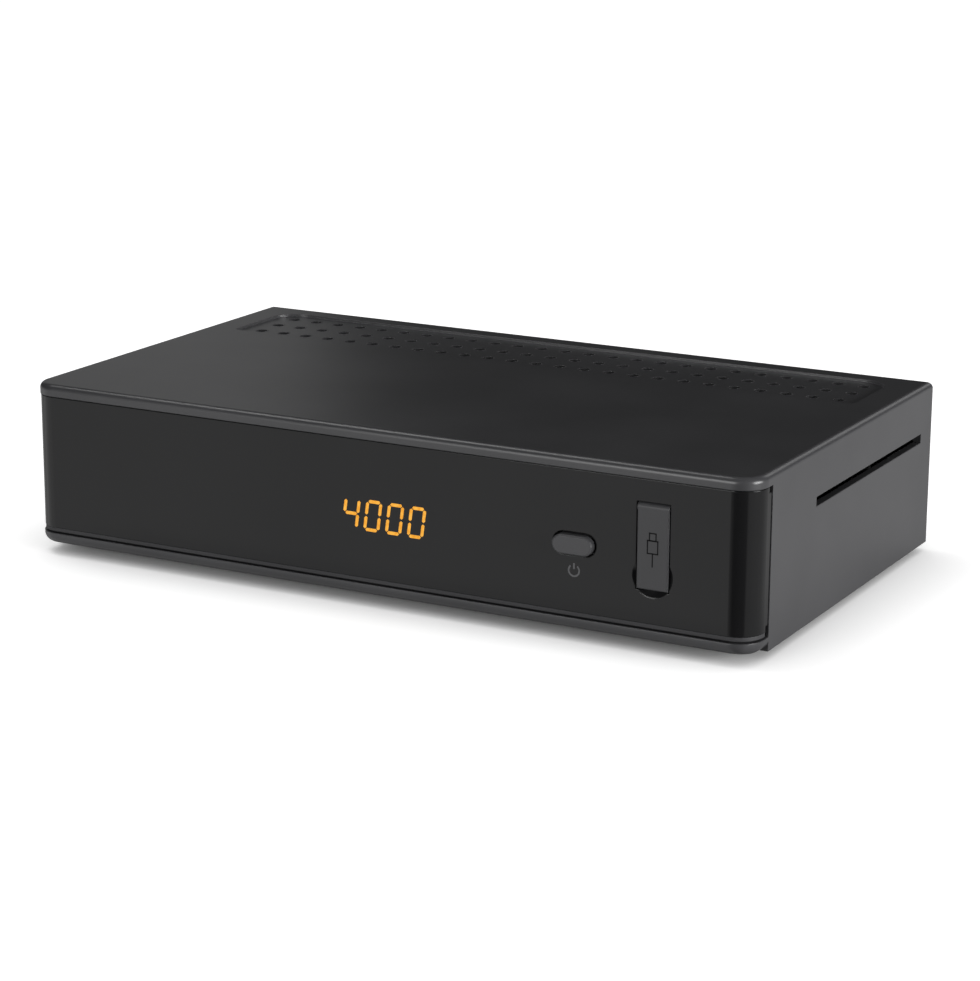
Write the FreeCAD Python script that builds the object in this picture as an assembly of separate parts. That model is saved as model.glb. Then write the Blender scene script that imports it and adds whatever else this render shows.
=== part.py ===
import FreeCAD, Part
import math
import os

os.makedirs("parts", exist_ok=True)

# Satellite receiver, a small set-top box with a front panel that wraps round both corners.
# Row frame: X across the width, -Y is the front, +Z up. The origin is the bottom centre
# of the whole box, on the plane that the rubber feet stand on. Millimetres.

# Sides of the stand-in for a circle, where small round forms repeat
few_sides = 8

# Body
body_width = 170.0
body_depth = 97.5
body_height = 36.0
foot_height = 2.0
corner_radius = 5.5
rear_corner_radius = 0.8
top_edge_radius = 1.3
top_wall = 2.0
side_wall = 1.8
floor_wall = 2.0
fit_gap = 0.15

# Front frame of the upper housing: the lip above the panel and the rail below it
lip_height = 2.5
rail_height = 2.45
rail_depth = 3.0
rail_lift = 0.5
rail_edge_radius = 1.9
frame_reach = 7.6

# Rear frame of the upper housing
rear_lip = 1.2
rear_lip_width = 1.2
rear_rib_width = 2.0
rib_wall = 1.2

# Vent recess and its rows of tapered holes
recess_side_gap = 7.6
recess_front = 69.0
recess_depth = 23.0
recess_sink = 0.6
recess_rear_radius = 6.0
recess_front_radius = 1.0
vent_columns = 25
vent_rows = 3
vent_side_margin = 4.92
vent_front_margin = 4.2
vent_mouth_radius = 1.4
vent_hole_radius = 0.75
vent_sides = 8

# Smart card slot in the right-hand side
slot_side_room = 3.0
slot_opening = 2.0
slot_middle_depth = 60.4
slot_centre_height = 24.75
card_width = 54.0
card_channel = 0.9
card_play = 0.4

# Front panel and the carrier behind it
panel_setback = 0.15
panel_wall = 1.2
panel_bottom = 4.2
panel_notch_depth = 1.1
panel_notch_height = 1.2
carrier_gap = 0.1
carrier_wall = 1.5
carrier_reach = 6.0
ledge_height = 0.85
ledge_setback = 0.25
snap_width = 9.0
snap_reach = 1.6
snap_drop = 1.0
snap_hook = 1.2
snap_places = (-60.0, 0.0, 60.0)
tab_places = (-60.0, -20.0, 20.0)
tab_tall = 2.0
carrier_overlap = 0.5

# Four-digit display
display_x = 3.0
display_height_above_bottom = 17.35
display_width = 22.4
display_tall = 10.2
display_pocket = 0.4

# Infrared receiver
infrared_x = -20.0
infrared_width = 5.6
infrared_tall = 6.8
infrared_body = 2.6
infrared_lens_radius = 1.9

# Power button and its switch
button_side_gap = 38.6
button_height_above_bottom = 18.2
button_length = 8.8
button_tall = 4.0
button_proud = 1.25
button_hole_gap = 0.4
button_flange = 1.5
button_flange_wall = 0.8
button_edge = 0.3
button_travel = 0.5
stop_gap = 0.1
stem_length = 0.2
plunger_radius = 1.7
plunger_proud = 0.9
running_gap = 0.08
switch_size = 6.0

# Cover of the front socket
cover_side_gap = 21.55
cover_width = 6.8
cover_bottom = 11.2
cover_wall = 1.3
cover_proud = 0.25
cover_gap = 0.2
cover_top = 28.65
cover_edge_radius = 0.3
hinge_radius = 1.0
pin_radius = 0.4
pin_running_gap = 0.05
pin_end = 1.2
scoop_depth_at_edge = 0.8
scoop_drop = 1.6

# Front socket, an upright type A socket on the main board
usb_tall = 13.1
usb_wide = 5.7
usb_length = 14.0
usb_face = 1.9
usb_shell_wall = 0.3
usb_block_depth = 4.0
usb_tongue_side = 0.5
usb_tongue_wall = 1.8
usb_tongue_setback = 0.8
usb_tongue_margin = 1.0
usb_base = 2.1
usb_window_gap = 0.2

# Front board, upright behind the carrier
front_board_left = -38.0
front_board_end = 8.6
front_board_bottom = 7.0
front_board_tall = 23.5
front_board_face = 7.8
board_wall = 1.6
front_screw_x = (-34.0, 28.0)
front_screw_height = 19.0
front_boss_radius = 2.6
front_header_start = 8.0
front_header_length = 20.0
front_header_tall = 2.5
front_header_wall = 1.2
front_header_reach = 4.0

# Main board on its posts
post_height = 6.0
post_radius = 3.0
board_front = 11.0
board_side_gap = 11.2
board_rear_gap = 0.3
tongue_width = 15.0
tongue_front = 5.2
post_edge_gap = 6.0
post_front = 24.0
post_rear_left = 54.0
post_rear_right = 74.0
board_hole_radius = 1.3

# Screws
case_screw_inset_x = 8.0
case_screw_front = 22.0
case_screw_rear = 6.1
case_boss_radius = 2.4
case_pilot_radius = 1.05
case_pillar_radius = 3.6
case_pillar_height = 4.0
screw_head_radius = 2.2
screw_head_height = 1.4
screw_shank_radius = 1.0
screw_length = 9.0
board_screw_length = 6.0
front_screw_length = 4.6
thread_gap = 0.05
screw_hole_gap = 0.3

# Slots in the floor
floor_slot_count = 7
floor_slot_pitch = 5.0
floor_slot_width = 2.0
floor_slot_length = 14.0
floor_slot_front = 36.75

# Rubber feet
foot_radius = 5.0
foot_inset_x = 15.0
foot_inset_front = 14.0
foot_inset_rear = 13.5
foot_recess = 0.5

# Rear panel
rear_panel_wall = 1.6
socket_gap = 0.3

# Places across the back are shares of half the body's width, so they keep their order.
# Two aerial connectors on the tuner
aerial_share = -0.647
tuner_width = 30.0
tuner_depth = 30.0
tuner_tall = 13.0
tuner_lid_wall = 0.4
aerial_pitch = 16.0
aerial_radius = 4.76
aerial_root_radius = 5.1
aerial_reach = 9.5
aerial_height = 6.7
aerial_bore_radius = 2.4
aerial_bore_depth = 8.0
aerial_pin_hole = 0.6
aerial_core_setback = 1.0
nut_across_flats = 12.7
nut_wall = 2.4

# Scart socket
scart_share = -0.135
scart_width = 48.0
scart_tall = 13.0
scart_depth = 19.0
scart_rim = 0.9
scart_groove = 1.3
scart_corner = 5.0
scart_proud = 1.0
scart_lift = 1.2
scart_base_wall = 1.3
scart_back_wall = 2.0
scart_setback = 0.6
scart_contact_width = 1.2
scart_contact_tall = 3.2
scart_contact_depth = 6.0
scart_contacts_per_row = 10
scart_pitch = 3.81
scart_row_pitch = 5.0

# Video socket
hdmi_share = 0.288
hdmi_width = 15.0
hdmi_tall = 5.8
hdmi_depth = 11.5
hdmi_wall = 0.4
hdmi_corner = 1.6
hdmi_block_depth = 3.0
hdmi_tongue_width = 11.2
hdmi_tongue_wall = 1.0
hdmi_tongue_setback = 1.2

# Network socket
network_share = 0.494
network_width = 16.0
network_tall = 13.4
network_depth = 20.0
network_mouth_width = 11.8
network_mouth_tall = 7.0
network_mouth_depth = 12.5
network_latch_width = 6.2
network_latch_tall = 2.4
network_proud = 0.4
network_contact_count = 8
network_contact_pitch = 1.02
network_contact_width = 0.4
network_contact_root = 1.0
network_contact_setback = 2.5
network_contact_gap = 0.6
network_contact_tip = 0.35

# Digital sound socket
coax_share = 0.668
coax_block_width = 10.0
coax_block_tall = 12.6
coax_block_depth = 10.0
coax_radius = 4.15
coax_wall = 0.7
coax_collar = 0.2
coax_seat = 2.0
coax_core_setback = 0.6
coax_reach = 8.6
coax_height = 6.6
coax_pin_hole = 1.6

# Supply socket
supply_share = 0.793
supply_width = 9.0
supply_tall = 11.0
supply_depth = 13.5
supply_bore_radius = 3.1
supply_bore_depth = 9.0
supply_pin_radius = 1.0
supply_pin_setback = 0.8
supply_height = 6.4

# Parts on the main board, each placed by its share of half the board's width and its depth
chip_place = (-0.153, 42.0)
chip_size = 19.0
chip_wall = 1.2
pad_wall = 0.5
sink_size = 27.0
sink_base = 2.0
sink_tall = 9.0
sink_fins = 7
fin_wall = 1.1
memory_size = (11.0, 8.0, 1.1)
memory_places = ((-0.458, 37.0), (-0.458, 48.0))
flash_size = (8.0, 6.0, 1.6)
flash_share = 0.14
flash_header_gap = 0.5
capacitor_radius = 4.0
capacitor_tall = 11.0
capacitor_places = ((0.472, 44.0), (0.611, 44.0), (0.75, 44.0), (0.75, 60.0))
coil_size = (7.0, 7.0, 4.0)
coil_corner = 1.5
coil_places = ((0.611, 56.0), (0.611, 66.0), (-0.764, 48.0))
crystal_size = (11.0, 4.6, 3.6)
crystal_corner = 1.4
crystal_place = (-0.5, 27.0)

# Card reader on its own raised board
card_board_length = 64.0
card_board_edge = 3.1
reader_side_gap = 11.0
reader_length = 53.0
reader_cheek = 1.2
reader_floor = 0.8
reader_roof = 1.6
reader_post_radius = 2.0
reader_post_gap = 1.4
reader_post_left = 3.0
reader_post_right = 14.0
reader_post_end = 2.6
reader_post_behind = 9.6
reader_stop = 3.0
reader_room_start = 8.0
reader_room_margin = 4.0
reader_window_margin = 12.0
reader_window_side = 8.0
contact_start = 11.0
contact_width = 1.0
contact_press = 0.3
card_header_start = 8.0
card_header_width = 5.0
card_header_length = 25.0
contact_rows = 2
contacts_per_row = 4
contact_pitch = 2.54
contact_row_pitch = 7.62

# Planes and levels that follow from the sizes above
half_width = body_width / 2
recess_half_width = half_width - recess_side_gap
vent_pitch_x = 2 * (recess_half_width - vent_side_margin) / (vent_columns - 1)
vent_pitch_y = (recess_depth - 2 * vent_front_margin) / (vent_rows - 1)
slot_length = card_width + 2 * slot_side_room
button_x = half_width - button_side_gap
cover_x = half_width - cover_side_gap
front_board_right = button_x + front_board_end
aerial_x = aerial_share * half_width
tuner_left = aerial_x - tuner_width / 2
scart_x = scart_share * half_width
hdmi_x = hdmi_share * half_width
network_x = network_share * half_width
coax_x = coax_share * half_width
supply_x = supply_share * half_width
overall_depth = button_proud + body_depth + aerial_reach
front_y = -overall_depth / 2 + button_proud
back_y = front_y + body_depth
bottom_z = foot_height
top_z = foot_height + body_height
roof_z = top_z - top_wall
floor_z = bottom_z + floor_wall
lip_z = top_z - lip_height
rail_z = bottom_z + rail_lift + rail_height
ledge_z = bottom_z + panel_bottom - ledge_height
panel_z = bottom_z + panel_bottom + stop_gap / 2
panel_top_z = lip_z - fit_gap
panel_y = front_y + panel_setback
panel_back_y = panel_y + panel_wall
carrier_inset = panel_setback + panel_wall + carrier_gap
carrier_y = front_y + carrier_inset
carrier_back_y = carrier_y + carrier_wall
inner_half = half_width - side_wall
frame_end_y = front_y + frame_reach
board_z = floor_z + post_height
board_top_z = board_z + board_wall
board_half = half_width - side_wall - board_side_gap
board_rear_y = back_y - rear_lip - stop_gap - rear_panel_wall - board_rear_gap
rear_panel_back_y = back_y - rear_lip - stop_gap
rear_panel_y = rear_panel_back_y - rear_panel_wall
display_z = bottom_z + display_height_above_bottom
button_z = bottom_z + button_height_above_bottom
hinge_y = panel_y - cover_proud + hinge_radius
hinge_z = bottom_z + cover_top - hinge_radius
cover_z = bottom_z + cover_bottom
cover_y = panel_y - cover_proud
usb_z = board_top_z + usb_base
front_board_y = front_y + front_board_face
front_board_back_y = front_board_y + board_wall
flange_y = carrier_back_y + stop_gap
plunger_y = flange_y + button_flange_wall + stem_length + stop_gap
switch_y = plunger_y + plunger_proud
slot_z = bottom_z + slot_centre_height
slot_middle_y = front_y + slot_middle_depth
slot_front_y = slot_middle_y - slot_length / 2
reader_z = slot_z - card_channel / 2 - reader_floor
card_board_z = slot_z + card_channel / 2 + reader_roof
reader_half = card_width / 2 + card_play / 2 + reader_cheek
reader_right = half_width - reader_side_gap
reader_left = reader_right - reader_length
reader_post_y = slot_middle_y - reader_half - reader_post_gap - reader_post_radius
card_board_right = reader_right
card_board_left = card_board_right - card_board_length
card_board_front_y = reader_post_y - card_board_edge
card_board_rear_y = slot_middle_y + reader_half
reader_posts = (
    (reader_left + reader_post_left, reader_post_y),
    (reader_right - reader_post_right, reader_post_y),
    (card_board_left + reader_post_end, slot_middle_y + reader_post_behind),
)
aerial_end_y = back_y + aerial_reach
aerial_z = board_top_z + aerial_height
tuner_rear_y = rear_panel_y - 2 * board_rear_gap - 2.0
aerial_flange = rear_panel_y - board_rear_gap - tuner_rear_y
case_screws = (
    (half_width - case_screw_inset_x, front_y + case_screw_front),
    (half_width - case_screw_inset_x, back_y - case_screw_rear),
)


def box(x0, x1, y0, y1, z0, z1):
    """Straight-sided block between two corners."""
    return Part.makeBox(x1 - x0, y1 - y0, z1 - z0, FreeCAD.Vector(x0, y0, z0))


def rod_x(x0, x1, y, z, radius):
    """Round bar along X."""
    return Part.makeCylinder(radius, x1 - x0, FreeCAD.Vector(x0, y, z), FreeCAD.Vector(1, 0, 0))


def rod_y(x, y0, y1, z, radius):
    """Round bar along Y."""
    return Part.makeCylinder(radius, y1 - y0, FreeCAD.Vector(x, y0, z), FreeCAD.Vector(0, 1, 0))


def rod_z(x, y, z0, z1, radius):
    """Round bar along Z."""
    return Part.makeCylinder(radius, z1 - z0, FreeCAD.Vector(x, y, z0), FreeCAD.Vector(0, 0, 1))


def fuse(pieces):
    """One solid out of pieces that overlap or share a face."""
    return pieces[0].multiFuse(pieces[1:]).removeSplitter()


def group(pieces):
    """Separate solids kept in one file."""
    return Part.makeCompound(pieces)


def cut(piece, tools):
    """Take every tool out of the piece."""
    return piece.cut(Part.makeCompound(tools))


def upright_edges(piece, near_front):
    """Vertical edges in the front or the rear half of a block."""
    middle = (piece.BoundBox.YMin + piece.BoundBox.YMax) / 2
    found = []
    for edge in piece.Edges:
        tall = edge.BoundBox.ZLength > piece.BoundBox.ZLength / 2
        if tall and (edge.BoundBox.YMin < middle) == near_front:
            found.append(edge)
    return found


def plan_block(inset, y0, y1, z0, z1, front_radius, rear_radius):
    """Block inset from the body's sides, with round upright corners."""
    half = half_width - inset
    block = box(-half, half, y0, y1, z0, z1)
    if front_radius > 0:
        block = block.makeFillet(front_radius, upright_edges(block, True))
    if rear_radius > 0:
        block = block.makeFillet(rear_radius, upright_edges(block, False))
    return block


def wrap_band(inset, wall, z0, z1, reach):
    """Wall that runs along the front and turns back round both corners."""
    end_y = front_y + 2 * frame_reach
    outer = plan_block(inset, front_y + inset, end_y, z0, z1, corner_radius - inset, 0)
    inner_inset = inset + wall
    inner = plan_block(inner_inset, front_y + inner_inset, end_y, z0, z1, corner_radius - inner_inset, 0)
    front_only = box(-half_width, half_width, front_y, front_y + reach, z0, z1)
    return outer.cut(inner).common(front_only)


def obround(x, z, y0, y1, length, tall):
    """Bar along Y with a long section that has round ends."""
    radius = tall / 2
    straight = length / 2 - radius
    left = rod_y(x - straight, y0, y1, z, radius)
    right = rod_y(x + straight, y0, y1, z, radius)
    middle = box(x - straight, x + straight, y0, y1, z - radius, z + radius)
    return fuse([left, middle, right])


def ring_points(radius, sides):
    """Corners of a ring round a centre, with flats at the top and bottom."""
    points = []
    for corner in range(sides):
        angle = 2 * math.pi * (corner + 0.5) / sides
        points.append((radius * math.cos(angle), radius * math.sin(angle)))
    return points


def bar_z(x, y, z0, z1, radius):
    """Few-sided bar along Z that stays inside a circle."""
    corners = [FreeCAD.Vector(x + u, y + v, z0) for u, v in ring_points(radius, few_sides)]
    return Part.Face(Part.makePolygon(corners + corners[:1])).extrude(FreeCAD.Vector(0, 0, z1 - z0))


def bar_y(x, y0, y1, z, radius):
    """Few-sided bar along Y that stays inside a circle."""
    corners = [FreeCAD.Vector(x + u, y0, z + v) for u, v in ring_points(radius, few_sides)]
    return Part.Face(Part.makePolygon(corners + corners[:1])).extrude(FreeCAD.Vector(0, y1 - y0, 0))


def bore_z(x, y, z0, z1, radius):
    """Few-sided tool along Z that clears a circle."""
    return bar_z(x, y, z0, z1, radius / math.cos(math.pi / few_sides))


def bore_y(x, y0, y1, z, radius):
    """Few-sided tool along Y that clears a circle."""
    return bar_y(x, y0, y1, z, radius / math.cos(math.pi / few_sides))


def extrude_x(points, x0, x1):
    """Profile given as (y, z) points, drawn out along X."""
    corners = [FreeCAD.Vector(x0, y, z) for y, z in points]
    wire = Part.makePolygon(corners + corners[:1])
    return Part.Face(wire).extrude(FreeCAD.Vector(x1 - x0, 0, 0))


def extrude_y(points, y0, y1):
    """Profile given as (x, z) points, drawn out along Y."""
    corners = [FreeCAD.Vector(x, y0, z) for x, z in points]
    wire = Part.makePolygon(corners + corners[:1])
    return Part.Face(wire).extrude(FreeCAD.Vector(0, y1 - y0, 0))


def mirrored(places):
    """Places on the right, then the same on the left."""
    return [(side * x, y) for side in (1, -1) for x, y in places]


def save(name, shape):
    """Write one sub-part."""
    shape.exportStep("parts/" + name + ".step")


def edges_at_height(piece, height):
    """Edges that lie in one level plane."""
    return [e for e in piece.Edges if abs(e.BoundBox.ZMin - height) < 1e-6 and e.BoundBox.ZLength < 1e-6]


# Upper housing

def housing_outside():
    """Outer form: the main block, and the front block with its rounded lower edge."""
    main = plan_block(0, frame_end_y, back_y, bottom_z, top_z, 0, rear_corner_radius)
    front = plan_block(0, front_y, frame_end_y, bottom_z + rail_lift, top_z, corner_radius, 0)
    lower = edges_at_height(front, bottom_z + rail_lift)
    outline = [e for e in lower if e.BoundBox.YMin < frame_end_y - 1e-6]
    front = front.makeFillet(rail_edge_radius, outline)
    body = fuse([main, front])
    return body.makeFillet(top_edge_radius, edges_at_height(body, top_z))


def vent_recess():
    """Shallow recess in the roof, with larger corners at the rear."""
    y0 = front_y + recess_front
    sink = box(-recess_half_width, recess_half_width, y0, y0 + recess_depth, top_z - recess_sink, top_z + 1)
    sink = sink.makeFillet(recess_rear_radius, upright_edges(sink, False))
    return sink.makeFillet(recess_front_radius, upright_edges(sink, True))


def tapered_hole():
    """Hole that narrows downwards, with few flat sides because it repeats so often."""
    low = [FreeCAD.Vector(u, v, roof_z) for u, v in ring_points(vent_hole_radius, vent_sides)]
    high = [FreeCAD.Vector(u, v, top_z - recess_sink) for u, v in ring_points(vent_mouth_radius, vent_sides)]
    faces = [Part.Face(Part.makePolygon(low + low[:1])), Part.Face(Part.makePolygon(high + high[:1]))]
    for near in range(vent_sides):
        far = (near + 1) % vent_sides
        sheet = Part.makePolygon([low[near], low[far], high[far], high[near], low[near]])
        faces.append(Part.Face(sheet))
    return Part.makeSolid(Part.makeShell(faces))


def vent_holes():
    """Tapered holes in straight rows and columns in the recess."""
    holes = []
    middle_y = front_y + recess_front + recess_depth / 2
    hole = tapered_hole()
    for row in range(vent_rows):
        y = middle_y + (row - (vent_rows - 1) / 2) * vent_pitch_y
        for column in range(vent_columns):
            x = (column - (vent_columns - 1) / 2) * vent_pitch_x
            holes.append(hole.translated(FreeCAD.Vector(x, y, 0)))
    return holes


def card_slot():
    """Slot through the right-hand wall for the smart card."""
    z0 = slot_z - slot_opening / 2
    return box(inner_half - 1, half_width + 1, slot_front_y, slot_front_y + slot_length, z0, z0 + slot_opening)


def housing_bosses():
    """Screw bosses under the roof, each webbed to its side wall."""
    foot_z = floor_z + case_pillar_height + fit_gap
    bosses = []
    for x, y in mirrored(case_screws):
        bosses.append(bar_z(x, y, foot_z, roof_z, case_boss_radius))
        wall_x = math.copysign(inner_half, x)
        low, high = sorted((x, wall_x))
        web_z = foot_z + case_pillar_height
        bosses.append(box(low, high, y - rib_wall / 2, y + rib_wall / 2, web_z, roof_z))
    return bosses


def housing_ribs():
    """Stiffening ribs under the roof and stop ribs that hold the rear panel."""
    ribs = []
    rib_z = roof_z - 2 * rib_wall
    clear = case_screw_inset_x + case_boss_radius
    for share in (-0.5, 0.0, 0.5):
        x = share * (half_width - clear)
        ribs.append(box(x - rib_wall / 2, x + rib_wall / 2, front_y + 2 * frame_reach,
                        front_y + recess_front - rib_wall, rib_z, roof_z))
    stop_y = rear_panel_y - stop_gap
    rib_low = floor_z + case_pillar_height
    for side in (1, -1):
        low, high = sorted((side * (inner_half - rear_rib_width), side * inner_half))
        ribs.append(box(low, high, stop_y - rib_wall, stop_y, rib_low, roof_z))
    return ribs


def upper_housing():
    """Moulded cover: roof, both sides and the frame round the front panel."""
    cavity = plan_block(side_wall, front_y + rail_depth, back_y - rear_lip, bottom_z - 1, roof_z,
                        corner_radius - side_wall, 0)
    rear_half = inner_half - rear_lip_width
    rear_way = box(-rear_half, rear_half, back_y - rear_lip - 1, back_y + 1,
                   bottom_z - 1, roof_z - rear_lip_width)
    window = box(-half_width - 1, half_width + 1, front_y - 1, frame_end_y, rail_z, lip_z)
    shell = cut(housing_outside(), [cavity, rear_way, window, vent_recess(), card_slot()])
    shell = fuse([shell] + housing_bosses() + housing_ribs())
    pilots = []
    for x, y in mirrored(case_screws):
        pilot_z = floor_z + case_pillar_height
        pilots.append(bore_z(x, y, pilot_z, pilot_z + screw_length, case_pilot_radius))
    return cut(shell, vent_holes() + pilots)


# Base tray

def floor_slots():
    """Two banks of slots in the floor."""
    slots = []
    half = floor_slot_width / 2
    y = front_y + floor_slot_front
    for bank in (-1, 1):
        for place in range(floor_slot_count):
            x = bank * half_width / 3 + (place - (floor_slot_count - 1) / 2) * floor_slot_pitch
            slots.append(box(x - half, x + half, y, y + floor_slot_length, bottom_z - 1, floor_z + 1))
    return slots


def foot_places():
    """Centres of the four feet."""
    x = half_width - foot_inset_x
    return mirrored([(x, front_y + foot_inset_front), (x, back_y - foot_inset_rear)])


def post_places():
    """Centres of the main board's posts."""
    x = board_half - post_edge_gap
    return [(-x, front_y + post_front), (x, front_y + post_front),
            (-x, front_y + post_rear_left), (x, front_y + post_rear_right)]


def base_tray():
    """Moulded floor with posts for the board, screw pillars and the rear panel's groove."""
    edge = side_wall + fit_gap
    front = front_y + rail_depth + fit_gap
    shoulder_y = back_y - rear_lip - fit_gap
    floor = plan_block(edge, front, shoulder_y, bottom_z, floor_z, corner_radius - edge, 0)
    tail_inset = edge + rear_lip_width
    tail = plan_block(tail_inset, shoulder_y - 1, back_y - fit_gap, bottom_z, floor_z, 0, 0)
    adds = [tail]
    side_x = half_width - edge
    wall_z = floor_z + case_pillar_height
    adds.append(box(-board_half, board_half, front + rib_wall, front + 2 * rib_wall, floor_z, wall_z))
    for side in (1, -1):
        low, high = sorted((side * (side_x - rib_wall), side * side_x))
        adds.append(box(low, high, front_y + 2 * frame_reach, back_y - 2 * case_screw_rear, floor_z, wall_z))
    stop_y = rear_panel_y - stop_gap
    tail_half = half_width - tail_inset
    adds.append(box(-tail_half, tail_half, stop_y - rib_wall, stop_y, floor_z, floor_z + rib_wall))
    adds.append(box(-tail_half, tail_half, rear_panel_back_y + stop_gap, back_y - fit_gap,
                    floor_z, floor_z + rib_wall))
    for x, y in post_places():
        adds.append(bar_z(x, y, floor_z, board_z, post_radius))
    r = case_pillar_radius
    for x, y in mirrored(case_screws):
        adds.append(box(x - r, x + r, y - r, min(y + r, stop_y), floor_z, wall_z))
    holes = floor_slots()
    seat_z = wall_z - 2 * rib_wall
    for x, y in mirrored(case_screws):
        holes.append(bore_z(x, y, bottom_z - 1, seat_z, screw_head_radius + screw_hole_gap))
        holes.append(bore_z(x, y, seat_z - 1, wall_z + 1, screw_shank_radius + screw_hole_gap))
    for x, y in post_places():
        holes.append(bore_z(x, y, floor_z, board_z + 1, screw_shank_radius + thread_gap))
    for x, y in foot_places():
        holes.append(bore_z(x, y, bottom_z - 1, bottom_z + foot_recess, foot_radius + fit_gap))
    return cut(fuse([floor] + adds), holes)


def rubber_feet():
    """Four round feet stuck in recesses under the tray."""
    feet = []
    for x, y in foot_places():
        feet.append(rod_z(x, y, 0, bottom_z + foot_recess, foot_radius))
    return group(feet)


def screw(x, y, z, length, downwards):
    """Pan-head screw: z is the plane under its head, and the shank points down or up."""
    shank_sign = -1 if downwards else 1
    tip = z + shank_sign * length
    shank = bar_z(x, y, min(z, tip), max(z, tip), screw_shank_radius)
    crown = z - shank_sign * screw_head_height
    head = bar_z(x, y, min(z, crown), max(z, crown), screw_head_radius)
    return fuse([shank, head])


def case_screw_set():
    """Four screws that come up through the tray into the housing's bosses."""
    seat_z = floor_z + case_pillar_height - 2 * rib_wall
    return group([screw(x, y, seat_z, screw_length, False) for x, y in mirrored(case_screws)])


# Front panel, carrier and what they hold

def scoop():
    """Round hollow for a fingernail under the cover's lower edge."""
    half = cover_width / 2
    circle = (half * half + scoop_drop * scoop_drop) / (2 * scoop_drop)
    centre_z = cover_z - scoop_drop + circle
    rise = centre_z - cover_z
    deep = scoop_depth_at_edge
    # A ball through the circle on the panel's face that is as deep as asked at the cover's edge
    gap = (circle * circle - rise * rise - deep * deep) / (2 * deep)
    ball = math.sqrt(circle * circle + gap * gap)
    return Part.makeSphere(ball, FreeCAD.Vector(cover_x, panel_y - gap, centre_z))


def cover_window():
    """Hole in the panel that the cover fills."""
    half = cover_width / 2 + cover_gap
    return box(cover_x - half, cover_x + half, panel_y - 1, panel_back_y + 1,
               cover_z - cover_gap, hinge_z + hinge_radius + cover_gap)


def hinge_slots():
    """Seats for the hinge pin's ends, open at the back and closed by the carrier."""
    reach = cover_width / 2 + pin_end + pin_running_gap
    tall = pin_radius + pin_running_gap
    return box(cover_x - reach, cover_x + reach, hinge_y - tall, panel_back_y + 1,
               hinge_z - tall, hinge_z + tall)


def display_recess():
    """Thin place behind the digits, so that their light comes through."""
    half = display_width / 2 + cover_gap
    tall = display_tall / 2 + cover_gap
    return box(display_x - half, display_x + half, panel_back_y - display_pocket, panel_back_y + 1,
               display_z - tall, display_z + tall)


def front_panel():
    """Thin smoked panel that wraps round both front corners."""
    skin = wrap_band(panel_setback, panel_wall, panel_z, panel_top_z, frame_reach - fit_gap)
    hole = obround(button_x, button_z, panel_y - 1, panel_back_y + 1,
                   button_length + 2 * button_hole_gap, button_tall + 2 * button_hole_gap)
    tools = [hole, cover_window(), hinge_slots(), display_recess(), scoop()]
    notch_y = frame_end_y - fit_gap - panel_notch_depth
    for z0, z1 in ((panel_z - 1, panel_z + panel_notch_height), (panel_top_z - panel_notch_height, lip_z)):
        for side in (1, -1):
            low, high = sorted((side * (inner_half - 1), side * (half_width + 1)))
            tools.append(box(low, high, notch_y, frame_end_y, z0, z1))
    return cut(skin, tools)


def carrier_snap(x):
    """Hook that catches behind the housing's lip."""
    root_z = panel_top_z - snap_drop
    back = front_y + rail_depth + stop_gap
    tip_z = roof_z - stop_gap
    points = (
        (carrier_back_y - carrier_overlap, root_z - snap_hook),
        (carrier_back_y - carrier_overlap, root_z),
        (back, root_z),
        (back, tip_z),
        (back + snap_reach / 2, tip_z),
        (back + snap_reach, root_z - snap_hook / 3),
        (back + snap_reach / 2, root_z - snap_hook),
    )
    return extrude_x(points, x - snap_width / 2, x + snap_width / 2)


def carrier_tab(x):
    """Tab that reaches behind the housing's rail."""
    y0 = front_y + rail_depth + stop_gap
    tab = box(x - snap_width / 2, x + snap_width / 2, y0, y0 + rib_wall / 2,
              floor_z + fit_gap, ledge_z + tab_tall)
    bridge = box(x - snap_width / 2, x + snap_width / 2, carrier_back_y - carrier_overlap, y0 + rib_wall / 2,
                 ledge_z, ledge_z + tab_tall)
    return fuse([tab, bridge])


def button_guide():
    """Frame behind the carrier that the button's flange slides in."""
    half = button_length / 2 + button_flange + 2 * running_gap
    tall = button_tall / 2 + button_flange + 2 * running_gap
    y1 = flange_y + button_flange_wall + button_travel
    outer = box(button_x - half - rib_wall, button_x + half + rib_wall, carrier_back_y - 0.2, y1,
                button_z - tall - rib_wall, button_z + tall + rib_wall)
    inner = box(button_x - half, button_x + half, carrier_back_y, y1 + 1, button_z - tall, button_z + tall)
    return outer.cut(inner)


def usb_window():
    """Hole in the carrier for the mouth of the front socket."""
    half = usb_wide / 2 + usb_window_gap
    return box(cover_x - half, cover_x + half, carrier_y - 1, carrier_back_y + 1,
               usb_z - usb_window_gap, usb_z + usb_tall + usb_window_gap)


def hinge_clearance():
    """Room in the carrier for the cover's barrel."""
    half = cover_width / 2 + cover_gap
    tall = hinge_radius + cover_gap
    return box(cover_x - half, cover_x + half, carrier_y - 1, hinge_y + hinge_radius + cover_gap,
               hinge_z - tall, hinge_z + tall)


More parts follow.
